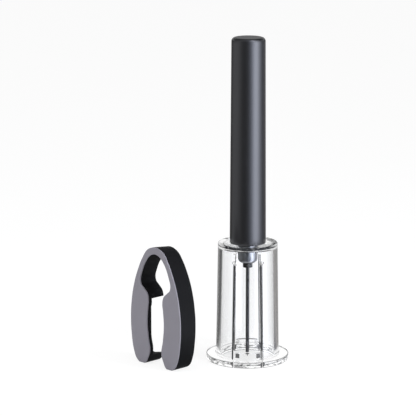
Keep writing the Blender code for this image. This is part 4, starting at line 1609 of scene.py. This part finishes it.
@dataclass(frozen=True)
class Studio:
    """Floor, world, lamps and camera, in metres and degrees.

    Rays straight through the clear plastic see a white room. Mirrored rays see panels round
    the set, given as colours by azimuth. Behind the set they see a band of white wall in a dim
    room, by how steeply they rise, and below the set a white floor.
    """

    floor_radius: float = 6.0
    floor_colour: Colour = grey(0.93)
    floor_lift: float = 0.78
    floor_white: float = 1.08
    foot_white: tuple[float, float] = (0.026, 0.03)
    sky_level: float = 0.55
    backdrop_end: tuple[float, float] = (0.02, 0.1)
    backdrop_dark: float = 0.04
    mirrored_peak: float = 4.1
    panel_span: tuple[float, float] = (0.3, 1.5)
    panel_shares: tuple[float, float] = (0.88, 1.32)
    panels: tuple[tuple[float, Colour], ...] = (
        (-180, grey(0.1)), (-165, grey(0.08)), (-151, grey(0.04)), (-136, grey(0.012)),
        (-116, grey(0.13)), (-75, grey(0.14)), (-35, grey(0.015)), (0, grey(0.015)),
        (22, (0.24, 0.26, 0.31)), (42, (0.97, 1.01, 1.12)), (60, (0.93, 0.96, 1.05)),
        (78, (0.36, 0.38, 0.42)), (94, (0.13, 0.135, 0.145)), (110, (0.04, 0.04, 0.045)),
        (134, (0.1, 0.098, 0.097)), (151, (0.06, 0.058, 0.057)), (165, grey(0.08)), (180, grey(0.1)),
    )
    back_wall_start: tuple[float, float] = (0.19, 0.215)
    back_wall_end: tuple[float, float] = (0.33, 0.38)
    back_wall_level: float = 0.95
    back_dimmed: float = 0.7
    camera_from_axis: tuple[float, float, float] = (-0.02441, -1.3499, 0.3854)
    camera_pitch: float = 12.15
    lens: float = 195.27
    sensor: float = 36.0
    clip: tuple[float, float] = (0.05, 30.0)
    soft_boxes: tuple[SoftBox, ...] = (
        SoftBox("key_strip", azimuth=54.0, distance=0.26, middle=0.29, looks_at=0.29,
                width=0.05, height=0.56, level=9.0, tint=(0.88, 0.93, 1.0)),
        SoftBox("right_panel", azimuth=92.0, distance=0.5, middle=0.35, looks_at=0.35,
                width=0.7, height=0.7, level=0.5, tint=(0.94, 0.97, 1.0)),
        SoftBox("left_panel", azimuth=-75.0, distance=0.35, middle=0.3, looks_at=0.3,
                width=0.25, height=0.6, level=0.6),
        SoftBox("overhead", azimuth=-20.0, distance=0.35, middle=1.2, looks_at=0.1,
                width=1.0, height=1.0, level=1.0),
    )

    def build(self, axis: Vector) -> None:
        """Builds the studio round the opener.

        Args:
            axis: The foot of the opener's axis, in metres.
        """
        self.floor(axis)
        self.world()
        for box in self.soft_boxes:
            box.build()
        self.camera(axis)

    def rays(self, graph: Graph) -> tuple[Value, Value, Value]:
        """Tells camera rays, rays straight through the plastic and mirrored rays apart.

        Args:
            graph: The graph of the world or the floor.

        Returns:
            Three values, each one for its rays and zero for the others.
        """
        camera, refracted, glossy, bounces = (
            graph.light_path(kind)
            for kind in ("Is Camera Ray", "Is Transmission Ray", "Is Glossy Ray", "Glossy Depth")
        )
        through = refracted * (1 - graph.maths("MINIMUM", bounces, 1.0))
        return camera, through, glossy * (1 - through)

    def surroundings(self, graph: Graph, direction: Value) -> Value:
        """What polished surfaces see of the panels round the set.

        Args:
            graph: The graph of the world or the floor.
            direction: Where a ray ends, seen from the set.

        Returns:
            The colour by azimuth, as a share of the peak.
        """
        azimuth = graph.maths("ARCTAN2", graph.part(direction, "X"), -graph.part(direction, "Y"))
        stops = [(place / 360 + 0.5, colour) for place, colour in self.panels]
        return graph.node("ShaderNodeValToRGB", {"stops": stops}, {0: azimuth * (1 / FULL_TURN) + 0.5})

    def floor(self, axis: Vector) -> None:
        """Lays the floor, a plain disc.

        Args:
            axis: The foot of the opener's axis, in metres.
        """
        shape = bmesh.new()
        bmesh.ops.create_circle(shape, cap_ends=True, segments=SMALL_STEPS, radius=self.floor_radius)
        mesh = bpy.data.meshes.new("studio_floor")
        shape.to_mesh(mesh)
        shape.free()
        made = bpy.data.objects.new("studio_floor", mesh)
        bpy.context.scene.collection.objects.link(made)
        mesh.materials.append(self.floor_material(axis))

    def floor_material(self, axis: Vector) -> bpy.types.Material:
        """A pale floor that keeps the object's shadow.

        Args:
            axis: The foot of the opener's axis, in metres.

        Returns:
            The material. Mirrored rays see white in it below the opener, and panels further out.
        """
        material = bpy.data.materials.new("pale_floor")
        material.use_nodes = True
        graph = Graph(material.node_tree)
        camera, through, mirrored = self.rays(graph)
        matt = graph.node("ShaderNodeBsdfDiffuse", {}, {"Color": rgba(self.floor_colour)})
        away = graph.mapped(Location=-axis)
        distance = graph.length(away)
        panels = mirrored * graph.ranged(distance, *self.foot_white)
        gain = graph.ranged(distance, *self.panel_span, *self.panel_shares)
        seen = graph.mixed(panels, rgba(WHITE), self.surroundings(graph, away))
        strength = panels * gain * self.mirrored_peak + (1 - panels) * self.floor_white
        share = (camera + through) * self.floor_lift + mirrored
        mixed = graph.blend(share, matt, graph.glow(seen, strength))
        graph.node("ShaderNodeOutputMaterial", {}, {"Surface": mixed})
        return material

    def world(self) -> None:
        """Plain light for matt surfaces, and the room that other rays see above the horizon."""
        world = bpy.data.worlds.new("studio_world")
        world.use_nodes = True
        graph = Graph(world.node_tree)
        place = graph.node("ShaderNodeTexCoord", output="Generated")
        rise = graph.part(place, "Z")
        behind = graph.part(place, "Y") > 0.0
        camera, through, mirrored = self.rays(graph)
        backdrop = graph.ranged(rise, *self.backdrop_end, 1.0, self.backdrop_dark)
        started, ended = graph.ranged(rise, *self.back_wall_start), graph.ranged(rise, *self.back_wall_end)
        back_wall = mirrored * behind * started * (1 - ended)
        panels = mirrored * (1 - back_wall)
        others = 1 - camera - through - mirrored
        level = (camera + through * backdrop + back_wall * self.back_wall_level
                 + panels * (1 - behind * self.back_dimmed) * self.mirrored_peak + others * self.sky_level)
        colour = graph.mixed(panels, rgba(WHITE), self.surroundings(graph, place))
        light = graph.node("ShaderNodeBackground", {}, {"Color": colour, "Strength": level})
        graph.node("ShaderNodeOutputWorld", {}, {"Surface": light})
        bpy.context.scene.world = world

    def camera(self, axis: Vector) -> None:
        """The photograph's camera.

        Args:
            axis: The foot of the opener's axis, in metres.
        """
        lens = bpy.data.cameras.new("photo_camera")
        lens.sensor_width, lens.lens = self.sensor, self.lens
        lens.clip_start, lens.clip_end = self.clip
        made = bpy.data.objects.new("photo_camera", lens)
        made.location = axis + Vector(self.camera_from_axis)
        made.rotation_euler = (math.radians(90 - self.camera_pitch), 0, 0)
        bpy.context.scene.collection.objects.link(made)
        bpy.context.scene.camera = made


def main() -> None:
    """Builds the set and its studio."""
    logging.basicConfig(level=logging.INFO, format="%(message)s")
    bpy.context.scene.view_settings.view_transform = "Standard"
    axis = opener_axis() / MM
    opener = Stand(Matrix.Translation(axis))
    for group in (NeckHousing(), NeedleSet(), PumpBarrel(), CheckValve(), SlidingHandle(), Piston()):
        group.build(opener)
    foil_cutter = FoilCutter()
    cutter = Stand(foil_cutter.place(axis))
    foil_cutter.build(cutter)
    Studio().build(axis * MM)
    LOG.info("%d pieces", len(opener.made) + len(cutter.made))


if __name__ == "__main__":
    main()
